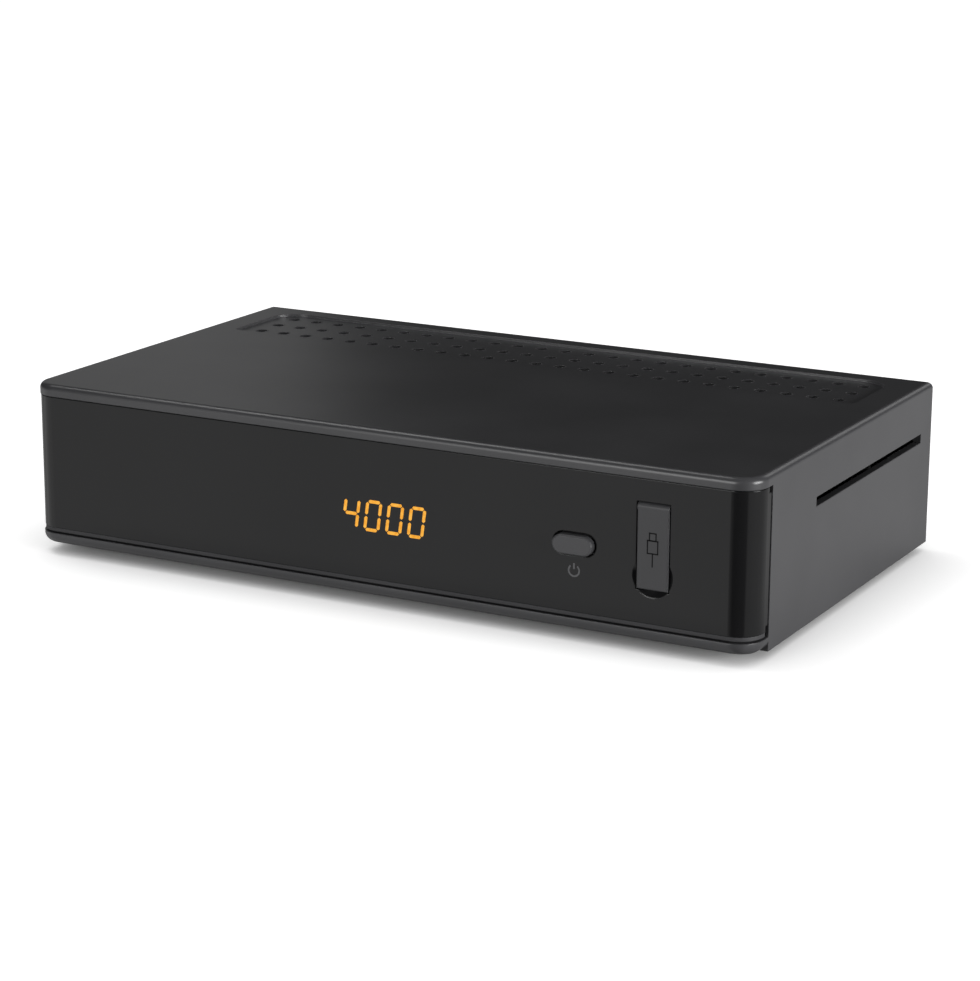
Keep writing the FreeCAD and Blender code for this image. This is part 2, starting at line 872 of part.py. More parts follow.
def panel_carrier():
    """Frame that the panel is stuck on. Its ledge shows as a thin strip below the panel."""
    plate = wrap_band(carrier_inset, carrier_wall, ledge_z, panel_top_z, carrier_reach)
    ledge = wrap_band(ledge_setback, carrier_inset + carrier_wall - ledge_setback, ledge_z,
                      ledge_z + ledge_height, frame_reach - fit_gap - panel_notch_depth)
    adds = [ledge, button_guide()]
    for x in snap_places:
        adds.append(carrier_snap(x))
    for x in tab_places:
        adds.append(carrier_tab(x))
    boss_z = bottom_z + front_screw_height
    for x in front_screw_x:
        adds.append(bar_y(x, carrier_back_y - carrier_overlap, front_board_y, boss_z, front_boss_radius))
    tools = [usb_window(), hinge_clearance()]
    tools.append(obround(button_x, button_z, carrier_y - 1, carrier_back_y + 0.5,
                         button_length + 2 * button_hole_gap, button_tall + 2 * button_hole_gap))
    half = display_width / 2 + cover_gap
    tall = display_tall / 2 + cover_gap
    tools.append(box(display_x - half, display_x + half, carrier_y - 1, carrier_back_y + 1,
                     display_z - tall, display_z + tall))
    tools.append(bore_y(infrared_x, carrier_y - 1, carrier_back_y + 1, display_z,
                        infrared_lens_radius + cover_gap))
    for x in front_screw_x:
        tools.append(bore_y(x, carrier_back_y, front_board_y + 1, boss_z, screw_shank_radius + thread_gap))
    return cut(fuse([plate] + adds), tools)


def power_button():
    """Long round-ended cap with a flange behind the carrier and a pad for the switch."""
    cap = obround(button_x, button_z, front_y - button_proud, flange_y, button_length, button_tall)
    face = [e for e in cap.Edges if e.BoundBox.YMax < front_y - button_proud + 1e-6]
    cap = cap.makeChamfer(button_edge, face)
    flange = box(button_x - button_length / 2 - button_flange, button_x + button_length / 2 + button_flange,
                 flange_y, flange_y + button_flange_wall,
                 button_z - button_tall / 2 - button_flange, button_z + button_tall / 2 + button_flange)
    stem_y = flange_y + button_flange_wall
    stem = bar_y(button_x, stem_y - stop_gap, stem_y + stem_length, button_z, plunger_radius)
    return fuse([cap, flange, stem])


def switch_body():
    """Low switch on the front board, open in the middle for its plunger."""
    half = switch_size / 2
    body = box(button_x - half, button_x + half, switch_y, front_board_y,
               button_z - half, button_z + half)
    well_y = switch_y + 2 * button_travel + stop_gap
    well = bore_y(button_x, switch_y - 1, well_y, button_z, plunger_radius + running_gap)
    return body.cut(well)


def switch_plunger():
    """Plunger that the button's pad pushes in."""
    return bar_y(button_x, plunger_y, switch_y + button_travel, button_z, plunger_radius)


def usb_cover():
    """Flap with a barrel along its top that turns on the hinge pin."""
    half = cover_width / 2
    leaf = box(cover_x - half, cover_x + half, cover_y, cover_y + cover_wall, cover_z, hinge_z)
    lower = [e for e in leaf.Edges if e.BoundBox.ZMax < cover_z + 1e-6 and e.BoundBox.YMax < cover_y + 1e-6]
    sides = [e for e in leaf.Edges if e.BoundBox.YMax < cover_y + 1e-6 and e.BoundBox.ZLength > 1]
    leaf = leaf.makeFillet(cover_edge_radius, lower + sides)
    barrel = rod_x(cover_x - half, cover_x + half, hinge_y, hinge_z, hinge_radius)
    bore = rod_x(cover_x - half - 1, cover_x + half + 1, hinge_y, hinge_z, pin_radius + pin_running_gap)
    return fuse([leaf, barrel]).cut(bore)


def usb_cover_pin():
    """Steel pin of the cover's hinge, held at both ends between panel and carrier."""
    reach = cover_width / 2 + pin_end
    return rod_x(cover_x - reach, cover_x + reach, hinge_y, hinge_z, pin_radius)


def usb_shell():
    """Folded steel shell of the front socket, open at its mouth."""
    y0 = front_y + usb_face
    half = usb_wide / 2
    outer = box(cover_x - half, cover_x + half, y0, y0 + usb_length, usb_z, usb_z + usb_tall)
    wall = usb_shell_wall
    inner = box(cover_x - half + wall, cover_x + half - wall, y0 - 1, y0 + usb_length - wall,
                usb_z + wall, usb_z + usb_tall - wall)
    return outer.cut(inner)


def usb_insulator():
    """Tongue with the contacts, and the block that lifts the socket off the board."""
    y0 = front_y + usb_face
    half = usb_wide / 2 - usb_shell_wall
    back = y0 + usb_length - usb_shell_wall
    rear = box(cover_x - half, cover_x + half, back - usb_block_depth, back,
               usb_z + usb_shell_wall, usb_z + usb_tall - usb_shell_wall)
    tongue_x = cover_x - half + usb_tongue_side
    tongue = box(tongue_x, tongue_x + usb_tongue_wall, y0 + usb_tongue_setback, back,
                 usb_z + usb_tongue_margin, usb_z + usb_tall - usb_tongue_margin)
    return fuse([rear, tongue])


def usb_stand():
    """Plastic foot that lifts the front socket off the board."""
    y0 = front_y + tongue_front
    half = usb_wide / 2
    return box(cover_x - half, cover_x + half, y0 + 0.5, front_y + usb_face + usb_length,
               board_top_z, usb_z)


def front_board():
    """Upright board with the display, the receiver and the switch."""
    z0 = bottom_z + front_board_bottom
    board = box(front_board_left, front_board_right, front_board_y, front_board_back_y,
                z0, z0 + front_board_tall)
    holes = []
    for x in front_screw_x:
        holes.append(bore_y(x, front_board_y - 1, front_board_back_y + 1, bottom_z + front_screw_height,
                            board_hole_radius))
    return cut(board, holes)


def front_board_screws():
    """Two screws that hold the front board on the carrier's bosses."""
    made = []
    z = bottom_z + front_screw_height
    for x in front_screw_x:
        shank = bar_y(x, front_board_back_y - front_screw_length, front_board_back_y, z, screw_shank_radius)
        head = bar_y(x, front_board_back_y, front_board_back_y + screw_head_height, z, screw_head_radius)
        made.append(fuse([shank, head]))
    return group(made)


def display_module():
    """Four-digit light-emitting display, seated in the panel's thin place."""
    half = display_width / 2
    tall = display_tall / 2
    face_y = panel_back_y - display_pocket + cover_gap
    return box(display_x - half, display_x + half, face_y, front_board_y, display_z - tall, display_z + tall)


def infrared_receiver():
    """Block with a round lens that looks through the panel."""
    half = infrared_width / 2
    block_y = front_board_y - infrared_body
    block = box(infrared_x - half, infrared_x + half, block_y, front_board_y,
                display_z - infrared_tall / 2, display_z + infrared_tall / 2)
    lens = bar_y(infrared_x, panel_back_y + carrier_gap, block_y + 0.1, display_z, infrared_lens_radius)
    return fuse([block, lens])


def front_header():
    """Right-angle header that joins the front board to the main board."""
    x0 = front_board_left + front_header_start
    x1 = x0 + front_header_length
    y0 = front_board_back_y
    foot = box(x0, x1, y0, front_y + board_front + front_header_reach, board_top_z,
               board_top_z + front_header_tall)
    back = box(x0, x1, y0, y0 + front_header_wall, board_top_z, board_top_z + 2 * front_header_tall)
    return fuse([foot, back])


# Main board and its parts

def main_board():
    """Circuit board with a tongue under the front socket."""
    board = box(-board_half, board_half, front_y + board_front, board_rear_y, board_z, board_top_z)
    left = cover_x - tongue_width / 2
    tongue = box(left, left + tongue_width, front_y + tongue_front, front_y + board_front + 1,
                 board_z, board_top_z)
    holes = [bore_z(x, y, board_z - 1, board_top_z + 1, board_hole_radius) for x, y in post_places()]
    return cut(fuse([board, tongue]), holes)


def board_screws():
    """Four screws that hold the main board on the tray's posts."""
    return group([screw(x, y, board_top_z, board_screw_length, True) for x, y in post_places()])


def block_at(place, size, z):
    """Block of a given size centred on a place of the main board."""
    share, depth = place
    long, wide, tall = size
    x = share * board_half
    y = front_y + depth
    return box(x - long / 2, x + long / 2, y - wide / 2, y + wide / 2, z, z + tall)


def main_chip():
    """Processor package."""
    return block_at(chip_place, (chip_size, chip_size, chip_wall), board_top_z)


def thermal_pad():
    """Soft pad between the processor and its heat sink."""
    return block_at(chip_place, (chip_size, chip_size, pad_wall), board_top_z + chip_wall)


def heat_sink():
    """Extruded heat sink with straight fins along the depth."""
    z0 = board_top_z + chip_wall + pad_wall
    base = block_at(chip_place, (sink_size, sink_size, sink_base), z0)
    pitch = (sink_size - fin_wall) / (sink_fins - 1)
    fin = block_at(chip_place, (fin_wall, sink_size, sink_tall), z0 + sink_base - stop_gap)
    fins = []
    for number in range(sink_fins):
        shift = (number - (sink_fins - 1) / 2) * pitch
        fins.append(fin.translated(FreeCAD.Vector(shift, 0, 0)))
    return fuse([base] + fins)


def memory_chips():
    """Two memory packages."""
    return group([block_at(place, memory_size, board_top_z) for place in memory_places])


def flash_chip():
    """Program memory, just in front of the card reader's header."""
    y = card_board_front_y + card_header_start - flash_header_gap - flash_size[1] / 2
    return block_at((flash_share, y - front_y), flash_size, board_top_z)


def capacitors():
    """Upright capacitor cans of the supply."""
    made = []
    for share, depth in capacitor_places:
        x = share * board_half
        y = front_y + depth
        made.append(bar_z(x, y, board_top_z, board_top_z + capacitor_tall, capacitor_radius))
    return group(made)


def power_coils():
    """Square moulded coils with cut corners."""
    made = []
    for place in coil_places:
        coil = block_at(place, coil_size, board_top_z)
        edges = upright_edges(coil, True) + upright_edges(coil, False)
        made.append(coil.makeChamfer(coil_corner, edges))
    return group(made)


def crystal():
    """Metal can of the clock crystal, with blunt ends."""
    can = block_at(crystal_place, crystal_size, board_top_z)
    edges = upright_edges(can, True) + upright_edges(can, False)
    return can.makeChamfer(crystal_corner, edges)


# Tuner and aerial connectors

def hexagon(x, z, across_flats):
    """Corners of an upright hexagon, as (x, z) points."""
    radius = across_flats / math.sqrt(3)
    points = []
    for corner in range(6):
        angle = math.radians(60 * corner)
        points.append((x + radius * math.cos(angle), z + radius * math.sin(angle)))
    return points


def aerial_places():
    """X of the input and of the output connector."""
    return (aerial_x - aerial_pitch / 2, aerial_x + aerial_pitch / 2)


def tuner_can():
    """Screening can of the tuner, with a lid that steps in all round."""
    y1 = tuner_rear_y
    y0 = y1 - tuner_depth
    can = box(tuner_left, tuner_left + tuner_width, y0, y1, board_top_z, board_top_z + tuner_tall)
    lid = box(tuner_left + 1, tuner_left + tuner_width - 1, y0 + 1, y1 - 1,
              board_top_z + tuner_tall - 0.1, board_top_z + tuner_tall + tuner_lid_wall)
    return fuse([can, lid])


def aerial_connector(x):
    """Threaded barrel with a flange against the tuner and a bore for the plug's pin."""
    barrel = rod_y(x, rear_panel_back_y, aerial_end_y, aerial_z, aerial_radius)
    root = rod_y(x, tuner_rear_y, rear_panel_back_y + nut_wall, aerial_z, aerial_root_radius)
    flange = extrude_y(hexagon(x, aerial_z, nut_across_flats), tuner_rear_y, tuner_rear_y + aerial_flange)
    bore = rod_y(x, aerial_end_y - aerial_bore_depth, aerial_end_y + 1, aerial_z, aerial_bore_radius)
    return fuse([barrel, root, flange]).cut(bore)


def aerial_insulators():
    """White cores set back in the aerial connectors, each with its pin hole."""
    made = []
    for x in aerial_places():
        y0 = aerial_end_y - aerial_bore_depth
        core = bar_y(x, y0, aerial_end_y - aerial_core_setback, aerial_z, aerial_bore_radius)
        made.append(core.cut(bar_y(x, y0 + aerial_core_setback, aerial_end_y, aerial_z, aerial_pin_hole)))
    return group(made)


def aerial_nuts():
    """Two hexagon nuts against the rear panel."""
    made = []
    for x in aerial_places():
        outline = hexagon(x, aerial_z, nut_across_flats)
        nut = extrude_y(outline, rear_panel_back_y, rear_panel_back_y + nut_wall)
        bore = bore_y(x, rear_panel_back_y - 1, rear_panel_back_y + nut_wall + 1, aerial_z,
                      aerial_root_radius + thread_gap)
        made.append(nut.cut(bore))
    return group(made)


# Sockets along the rear edge

def scart_outline(shrink):
    """Outline of the scart socket, with one slanted side, drawn in by a margin."""
    half = scart_width / 2 - shrink
    low = board_top_z + scart_lift + shrink
    high = board_top_z + scart_lift + scart_tall - shrink
    slant = scart_corner
    return (
        (scart_x - half, low),
        (scart_x + half - slant, low),
        (scart_x + half, low + slant),
        (scart_x + half, high),
        (scart_x - half, high),
    )


def scart_end_y():
    """Plane of the scart socket's mouth."""
    return rear_panel_back_y + scart_proud


def scart_shell():
    """Shroud of the scart socket, with an ear at each end for its screws."""
    y0 = board_rear_y - scart_depth
    shroud = extrude_y(scart_outline(0), y0, scart_end_y())
    hollow = extrude_y(scart_outline(scart_rim), y0 + scart_back_wall, scart_end_y() + 1)
    base = box(scart_x - scart_width / 2, scart_x + scart_width / 2 - scart_corner, y0,
               board_rear_y, board_top_z, board_top_z + scart_base_wall)
    return fuse([shroud, base]).cut(hollow)


def scart_insulator():
    """Block with two rows of contact slots, set in the shroud with a groove all round."""
    y0 = board_rear_y - scart_depth + scart_back_wall
    y1 = scart_end_y() - scart_setback
    block = extrude_y(scart_outline(scart_rim + scart_groove), y0, y1)
    middle_z = board_top_z + scart_lift + scart_tall / 2
    first = scart_x - scart_pitch * (scart_contacts_per_row - 1) / 2 - scart_corner / 4
    wide = scart_contact_width / 2
    tall = scart_contact_tall / 2
    slots = []
    for row in (-1, 1):
        z = middle_z + row * scart_row_pitch / 2
        for place in range(scart_contacts_per_row):
            x = first + place * scart_pitch
            slots.append(box(x - wide, x + wide, y1 - scart_contact_depth, y1 + 1, z - tall, z + tall))
    return cut(block, slots)


def hdmi_outline(shrink):
    """Outline of the video socket, with both lower corners slanted."""
    half = hdmi_width / 2 - shrink
    low = board_top_z + shrink
    high = board_top_z + hdmi_tall - shrink
    return (
        (hdmi_x - half + hdmi_corner, low),
        (hdmi_x + half - hdmi_corner, low),
        (hdmi_x + half, low + hdmi_corner),
        (hdmi_x + half, high),
        (hdmi_x - half, high),
        (hdmi_x - half, low + hdmi_corner),
    )


def hdmi_shell():
    """Folded steel shell of the video socket."""
    y0 = rear_panel_back_y - hdmi_depth
    shell = extrude_y(hdmi_outline(0), y0, rear_panel_back_y)
    return shell.cut(extrude_y(hdmi_outline(hdmi_wall), y0 + hdmi_wall, rear_panel_back_y + 1))


def hdmi_tongue():
    """Plastic block and tongue inside the video socket."""
    y0 = rear_panel_back_y - hdmi_depth + hdmi_wall
    back = extrude_y(hdmi_outline(hdmi_wall), y0, y0 + hdmi_block_depth)
    middle_z = board_top_z + hdmi_tall / 2
    half = hdmi_tongue_width / 2
    thin = hdmi_tongue_wall / 2
    tongue = box(hdmi_x - half, hdmi_x + half, y0, rear_panel_back_y - hdmi_tongue_setback,
                 middle_z - thin, middle_z + thin)
    return fuse([back, tongue])


def network_socket():
    """Network socket with a stepped mouth for the plug and its latch."""
    y1 = rear_panel_back_y + network_proud
    y0 = y1 - network_depth
    body = box(network_x - network_width / 2, network_x + network_width / 2, y0, y1,
               board_top_z, board_top_z + network_tall)
    mouth_z = board_top_z + (network_tall - network_mouth_tall) / 2
    half = network_mouth_width / 2
    mouth = box(network_x - half, network_x + half, y1 - network_mouth_depth, y1 + 1,
                mouth_z, mouth_z + network_mouth_tall)
    latch = box(network_x - network_latch_width / 2, network_x + network_latch_width / 2,
                y1 - network_mouth_depth, y1 + 1, mouth_z - network_latch_tall, mouth_z + 1)
    return cut(body, [mouth, latch])


def network_contacts():
    """Eight slanted contact springs under the roof of the network socket."""
    y1 = rear_panel_back_y + network_proud - network_contact_setback
    y0 = rear_panel_back_y + network_proud - network_mouth_depth
    roof = board_top_z + (network_tall + network_mouth_tall) / 2
    made = []
    gap = network_contact_gap
    root = network_contact_root
    half = network_contact_width / 2
    points = ((y0, roof - gap), (y0, roof - root), (y0 + gap, roof - root),
              (y1, roof - network_contact_tip), (y1, roof))
    for number in range(network_contact_count):
        x = network_x + (number - (network_contact_count - 1) / 2) * network_contact_pitch
        made.append(extrude_x(points, x - half, x + half))
    return group(made)


def coax_block():
    """Plastic block of the sound socket."""
    y1 = rear_panel_back_y - rear_panel_wall - stop_gap
    half = coax_block_width / 2
    block = box(coax_x - half, coax_x + half, y1 - coax_block_depth, y1,
                board_top_z, board_top_z + coax_block_tall)
    well = bore_y(coax_x, y1 - coax_seat, y1 + 1, board_top_z + coax_height,
                  coax_radius + coax_collar + thread_gap)
    return block.cut(well)


def coax_barrel():
    """Plated ring that the plug goes over."""
    y0 = rear_panel_y - stop_gap - coax_seat
    y1 = back_y + coax_reach
    z = board_top_z + coax_height
    ring = rod_y(coax_x, rear_panel_y, y1, z, coax_radius)
    collar = rod_y(coax_x, y0, rear_panel_back_y, z, coax_radius + coax_collar)
    return fuse([ring, collar]).cut(rod_y(coax_x, y0 - 1, y1 + 1, z, coax_radius - coax_wall))


def coax_insulator():
    """Core of the sound socket with the hole for the plug's pin."""
    y0 = rear_panel_y - stop_gap - coax_seat
    y1 = back_y + coax_reach - coax_core_setback
    z = board_top_z + coax_height
    core = bar_y(coax_x, y0, y1, z, coax_radius - coax_wall)
    return core.cut(bar_y(coax_x, y0 + coax_seat, y1 + 1, z, coax_pin_hole))


def supply_socket():
    """Block of the supply socket with its round mouth."""
    y1 = rear_panel_back_y
    y0 = y1 - supply_depth
    half = supply_width / 2
    body = box(supply_x - half, supply_x + half, y0, y1, board_top_z, board_top_z + supply_tall)
    mouth = rod_y(supply_x, y1 - supply_bore_depth, y1 + 1, board_top_z + supply_height, supply_bore_radius)
    return body.cut(mouth)


def supply_pin():
    """Centre pin of the supply socket."""
    y1 = rear_panel_back_y
    end_y = y1 - supply_pin_setback
    return bar_y(supply_x, y1 - supply_bore_depth, end_y, board_top_z + supply_height, supply_pin_radius)


def rear_panel():
    """Plate with a cut-out for each socket."""
    half = inner_half - fit_gap
    plate = box(-half, half, rear_panel_y, rear_panel_back_y, floor_z + stop_gap, roof_z - stop_gap)
    y0 = rear_panel_y - 1
    y1 = rear_panel_back_y + 1
    g = socket_gap
    holes = []
    for x in aerial_places():
        holes.append(bore_y(x, y0, y1, aerial_z, aerial_root_radius + thread_gap))
    holes.append(extrude_y(scart_outline(-g), y0, y1))
    holes.append(box(hdmi_x - hdmi_width / 2 - g, hdmi_x + hdmi_width / 2 + g, y0, y1,
                     board_top_z - g, board_top_z + hdmi_tall + g))
    holes.append(box(network_x - network_width / 2 - g, network_x + network_width / 2 + g, y0, y1,
                     board_top_z - g, board_top_z + network_tall + g))
    holes.append(bore_y(coax_x, y0, y1, board_top_z + coax_height, coax_radius + coax_collar + thread_gap))
    holes.append(box(supply_x - supply_width / 2 - g, supply_x + supply_width / 2 + g, y0, y1,
                     board_top_z - g, board_top_z + supply_tall + g))
    return cut(plate, holes)


# Card reader

def card_board():
    """Small board that carries the card reader upside down."""
    board = box(card_board_left, card_board_right, card_board_front_y, card_board_rear_y,
                card_board_z, card_board_z + board_wall)
    holes = []
    for x, y in reader_posts:
        holes.append(bore_z(x, y, card_board_z - 1, card_board_z + board_wall + 1, board_hole_radius))
    return cut(board, holes)


def card_reader():
    """Moulded guide that the card slides into, open towards the slot."""
    half = reader_half - reader_cheek
    outer = box(reader_left, reader_right, slot_middle_y - reader_half, slot_middle_y + reader_half,
                reader_z, card_board_z)
    z0 = slot_z - card_channel / 2
    channel = box(reader_left + reader_stop, reader_right + 1, slot_middle_y - half, slot_middle_y + half,
                  z0, z0 + card_channel)
    contact_y = contact_row_pitch / 2 + contact_pitch
    room_x = reader_left + reader_room_start
    room = box(room_x, room_x + contacts_per_row * contact_pitch + reader_room_margin,
               slot_middle_y - contact_y, slot_middle_y + contact_y, z0, card_board_z + 1)
    window = box(reader_left + reader_window_margin, reader_right - reader_window_margin,
                 slot_middle_y - half + reader_window_side, slot_middle_y + half - reader_window_side,
                 reader_z - 1, z0 + card_channel / 2)
    return cut(outer, [channel, room, window])


def card_contacts():
    """Eight sprung contacts that press on the card's chip."""
    made = []
    z1 = card_board_z
    z0 = slot_z + card_channel / 2 - contact_press
    half = contact_width / 2
    for row in range(contact_rows):
        for place in range(contacts_per_row):
            x = reader_left + contact_start + place * contact_pitch
            y = slot_middle_y + (row - 0.5) * contact_row_pitch
            points = (
                (y - 1.8, z1),
                (y - 1.8, z1 - contact_press),
                (y + 0.2, z0),
                (y + 1.2, z0 + 0.4),
                (y + 0.2, z0 + contact_press),
                (y - 1.2, z1),
            )
            made.append(extrude_x(points, x - half, x + half))
    return group(made)


def card_board_posts():
    """Three snap-in pillars between the main board and the card reader's board."""
    made = []
    r = reader_post_radius
    neck = board_hole_radius - fit_gap
    clip_z = card_board_z + board_wall + stop_gap
    for x, y in reader_posts:
        pillar = box(x - r, x + r, y - r, y + r, board_top_z, card_board_z)
        stem = box(x - neck / 2, x + neck / 2, y - neck / 2, y + neck / 2, card_board_z - 1, clip_z + 1)
        barb = box(x - r, x + r, y - neck / 2, y + neck / 2, clip_z, clip_z + 1)
        made.append(fuse([pillar, stem, barb]))
    return group(made)


def card_header():
    """Pin header that joins the reader's board to the main board."""
    y = card_board_front_y + card_header_start
    x = (card_board_left + reader_left) / 2
    half = card_header_width / 2
    return box(x - half, x + half, y, y + card_header_length, board_top_z, card_board_z)


save("upper_housing", upper_housing())
save("base_tray", base_tray())
save("rubber_feet", rubber_feet())
save("case_screws", case_screw_set())
save("front_panel", front_panel())
save("panel_carrier", panel_carrier())
save("power_button", power_button())
save("switch_body", switch_body())
save("switch_plunger", switch_plunger())
save("usb_cover", usb_cover())
save("usb_cover_pin", usb_cover_pin())
save("usb_shell", usb_shell())
save("usb_insulator", usb_insulator())
save("usb_stand", usb_stand())
save("front_board", front_board())
save("front_board_screws", front_board_screws())
save("display_module", display_module())
save("infrared_receiver", infrared_receiver())
save("front_header", front_header())
save("main_board", main_board())
save("board_screws", board_screws())
save("main_chip", main_chip())
save("thermal_pad", thermal_pad())
save("heat_sink", heat_sink())
save("memory_chips", memory_chips())
save("flash_chip", flash_chip())
save("capacitors", capacitors())
save("power_coils", power_coils())
save("crystal", crystal())
save("tuner_can", tuner_can())
save("aerial_input", aerial_connector(aerial_places()[0]))
save("aerial_output", aerial_connector(aerial_places()[1]))
save("aerial_insulators", aerial_insulators())
save("aerial_nuts", aerial_nuts())
save("scart_shell", scart_shell())
save("scart_insulator", scart_insulator())
save("hdmi_shell", hdmi_shell())
save("hdmi_tongue", hdmi_tongue())
save("network_socket", network_socket())
save("network_contacts", network_contacts())
save("coax_block", coax_block())
save("coax_barrel", coax_barrel())
save("coax_insulator", coax_insulator())
save("supply_socket", supply_socket())
save("supply_pin", supply_pin())
save("rear_panel", rear_panel())
save("card_board", card_board())
save("card_reader", card_reader())
save("card_contacts", card_contacts())
save("card_board_posts", card_board_posts())
save("card_header", card_header())
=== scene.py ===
import math

import bpy
import numpy as np
from mathutils import Matrix, Vector


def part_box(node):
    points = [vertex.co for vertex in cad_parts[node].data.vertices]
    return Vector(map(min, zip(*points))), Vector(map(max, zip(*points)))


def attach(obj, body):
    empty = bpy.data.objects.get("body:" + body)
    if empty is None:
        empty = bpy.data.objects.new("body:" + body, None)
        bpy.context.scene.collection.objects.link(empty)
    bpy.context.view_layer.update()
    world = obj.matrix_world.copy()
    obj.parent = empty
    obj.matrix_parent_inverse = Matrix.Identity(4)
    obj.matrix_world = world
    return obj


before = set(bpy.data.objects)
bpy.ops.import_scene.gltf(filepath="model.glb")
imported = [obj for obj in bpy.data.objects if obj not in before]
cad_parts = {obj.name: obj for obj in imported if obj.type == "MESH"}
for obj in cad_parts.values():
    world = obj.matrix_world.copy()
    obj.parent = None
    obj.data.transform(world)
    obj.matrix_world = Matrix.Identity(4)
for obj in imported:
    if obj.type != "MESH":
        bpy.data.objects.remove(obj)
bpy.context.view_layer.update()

MM = 0.001


# Upper housing
# One injection moulding in dark grey ABS: roof, both sides, the lip over the front panel and the
# rail under it. The mould is finely spark-eroded, so the skin is satin. The helpers that give
# every piece its material come first.

HOUSING_DARK = "#434345"
HOUSING_LIGHT = "#4a4a4c"
HOUSING_GRAIN = 0.45 * MM
HOUSING_RELIEF = 0.004 * MM
HOUSING_EDGE = 0.3 * MM
PATCH_SIZE = 30 * MM
PLASTIC_IOR = 1.5
BEVEL_SAMPLES = 6


def linear(code):
    """The linear colour of an sRGB hex value: below the knee it divides by 12.92, above it takes
    the 2.4 power of the shifted value."""
    parts = [int(code[i:i + 2], 16) / 255 for i in (1, 3, 5)]
    curve = [c / 12.92 if c <= 0.04045 else ((c + 0.055) / 1.055) ** 2.4 for c in parts]
    return (*curve, 1.0)


def add(material, kind, values=None, links=None, **settings):
    """Adds one node with its settings. Values go on its sockets by name, and each link gives the
    source node and the name of the source's output."""
    made = material.node_tree.nodes.new(kind)
    for name, value in settings.items():
        setattr(made, name, value)
    for socket, value in (values or {}).items():
        made.inputs[socket].default_value = value
    for socket, (source, output) in (links or {}).items():
        material.node_tree.links.new(source.outputs[output], made.inputs[socket])
    return made


def shaded(name, values):
    """A material with one Principled shader. Returns the material, the shader and the place in
    object coordinates that its patterns read."""
    material = bpy.data.materials.new(name)
    material.use_nodes = True
    material.node_tree.nodes.clear()
    shader = add(material, "ShaderNodeBsdfPrincipled", values)
    add(material, "ShaderNodeOutputMaterial", links={"Surface": (shader, "BSDF")})
    return material, shader, add(material, "ShaderNodeTexCoord")


def join(material, source, output, target, socket):
    """Links one output to one input."""
    material.node_tree.links.new(source.outputs[output], target.inputs[socket])


def tint(material, shader, pattern, output, dark, light, low=0.35, high=0.65):
    """The shader's colour runs from dark to light as the pattern runs from low to high."""
    ramp = add(material, "ShaderNodeValToRGB", links={"Fac": (pattern, output)})
    ramp.color_ramp.elements[0].position = low
    ramp.color_ramp.elements[0].color = linear(dark)
    ramp.color_ramp.elements[1].position = high
    ramp.color_ramp.elements[1].color = linear(light)
    join(material, ramp, "Color", shader, "Base Color")
    return ramp


def relief(material, shader, pattern, output, height, edge=0.0):
    """The pattern lifts the surface by the height. An edge above zero also rounds sharp corners
    to that radius in the light."""
    links = {"Height": (pattern, output)}
    if edge > 0:
        corner = add(material, "ShaderNodeBevel", {"Radius": edge}, samples=BEVEL_SAMPLES)
        links["Normal"] = (corner, "Normal")
    bump = add(material, "ShaderNodeBump", {"Strength": 1.0, "Distance": height}, links)
    join(material, bump, "Normal", shader, "Normal")


def moulded(name, dark, light, roughness, specular, grain, height, edge=HOUSING_EDGE):
    """Moulded plastic: broad patches vary its grey a little, and noise of the grain's size lifts
    the skin by the height."""
    material, shader, place = shaded(
        name, {"Roughness": roughness, "IOR": PLASTIC_IOR, "Specular IOR Level": specular})
    patches = add(material, "ShaderNodeTexNoise", {"Scale": 1 / PATCH_SIZE, "Detail": 3.0},
                  {"Vector": (place, "Object")})
    tint(material, shader, patches, "Fac", dark, light)
    skin = add(material, "ShaderNodeTexNoise", {"Scale": 1 / grain, "Detail": 2.0},
               {"Vector": (place, "Object")})
    relief(material, shader, skin, "Fac", height, edge)
    return material


def finish_nodes(material, *nodes):
    """Gives these CAD pieces the material."""
    for name in nodes:
        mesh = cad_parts[name].data
        for place in range(len(mesh.materials)):
            mesh.materials[place] = material


# ABS, moulded against a fine spark-eroded skin: satin, with soft broad highlights
housing_abs = moulded("abs_spark_eroded_dark_grey", HOUSING_DARK, HOUSING_LIGHT, roughness=0.3,
                      specular=0.5, grain=HOUSING_GRAIN, height=HOUSING_RELIEF)
finish_nodes(housing_abs, "upper_housing")


# Vent holes
# Seventy-five countersunk holes in the roof's recess, formed by tapered pins in the mould. The
# turned funnels below line the housing's flat-sided holes, so that their mouths are round.

VENT_MOUTH = 1.27 * MM
VENT_LAND = 1.56 * MM
VENT_THROAT = 0.68 * MM
VENT_LIFT = 0.012 * MM
VENT_SKIRT = 0.025 * MM
VENT_ROUNDING = 0.03 * MM
VENT_ROUNDING_DEPTH = 0.05 * MM
VENT_DEPTH = 1.39 * MM
VENT_WALL = 0.1 * MM
VENT_SIDES = 28
VENT_COLUMNS = 25
VENT_ROWS = 3
VENT_SIDE_MARGIN = 12.52 * MM
VENT_REAR_MARGIN = 9.7 * MM
VENT_ROW_STEP = 7.3 * MM
RECESS_SINK = 0.6 * MM
# The funnel's rings of faces that line the bore, counted from its lower end: they take the painted
# shade
BORE_RINGS = (0, 1)


def turned(profile, sides):
    """A closed profile of (radius, height) points turned round the Z axis: each point becomes a
    ring at equal angles, and the last ring joins the first. Returns vertices and faces."""
    profile = np.asarray(profile, float)
    angle = 2 * np.pi * np.arange(sides) / sides
    radius, height = profile[:, :1], profile[:, 1:]
    ring = np.stack([radius * np.cos(angle), radius * np.sin(angle),
                     np.broadcast_to(height, (len(profile), sides))], axis=-1)
    return ring.reshape(-1, 3), grid_faces(len(profile), sides, True, True)


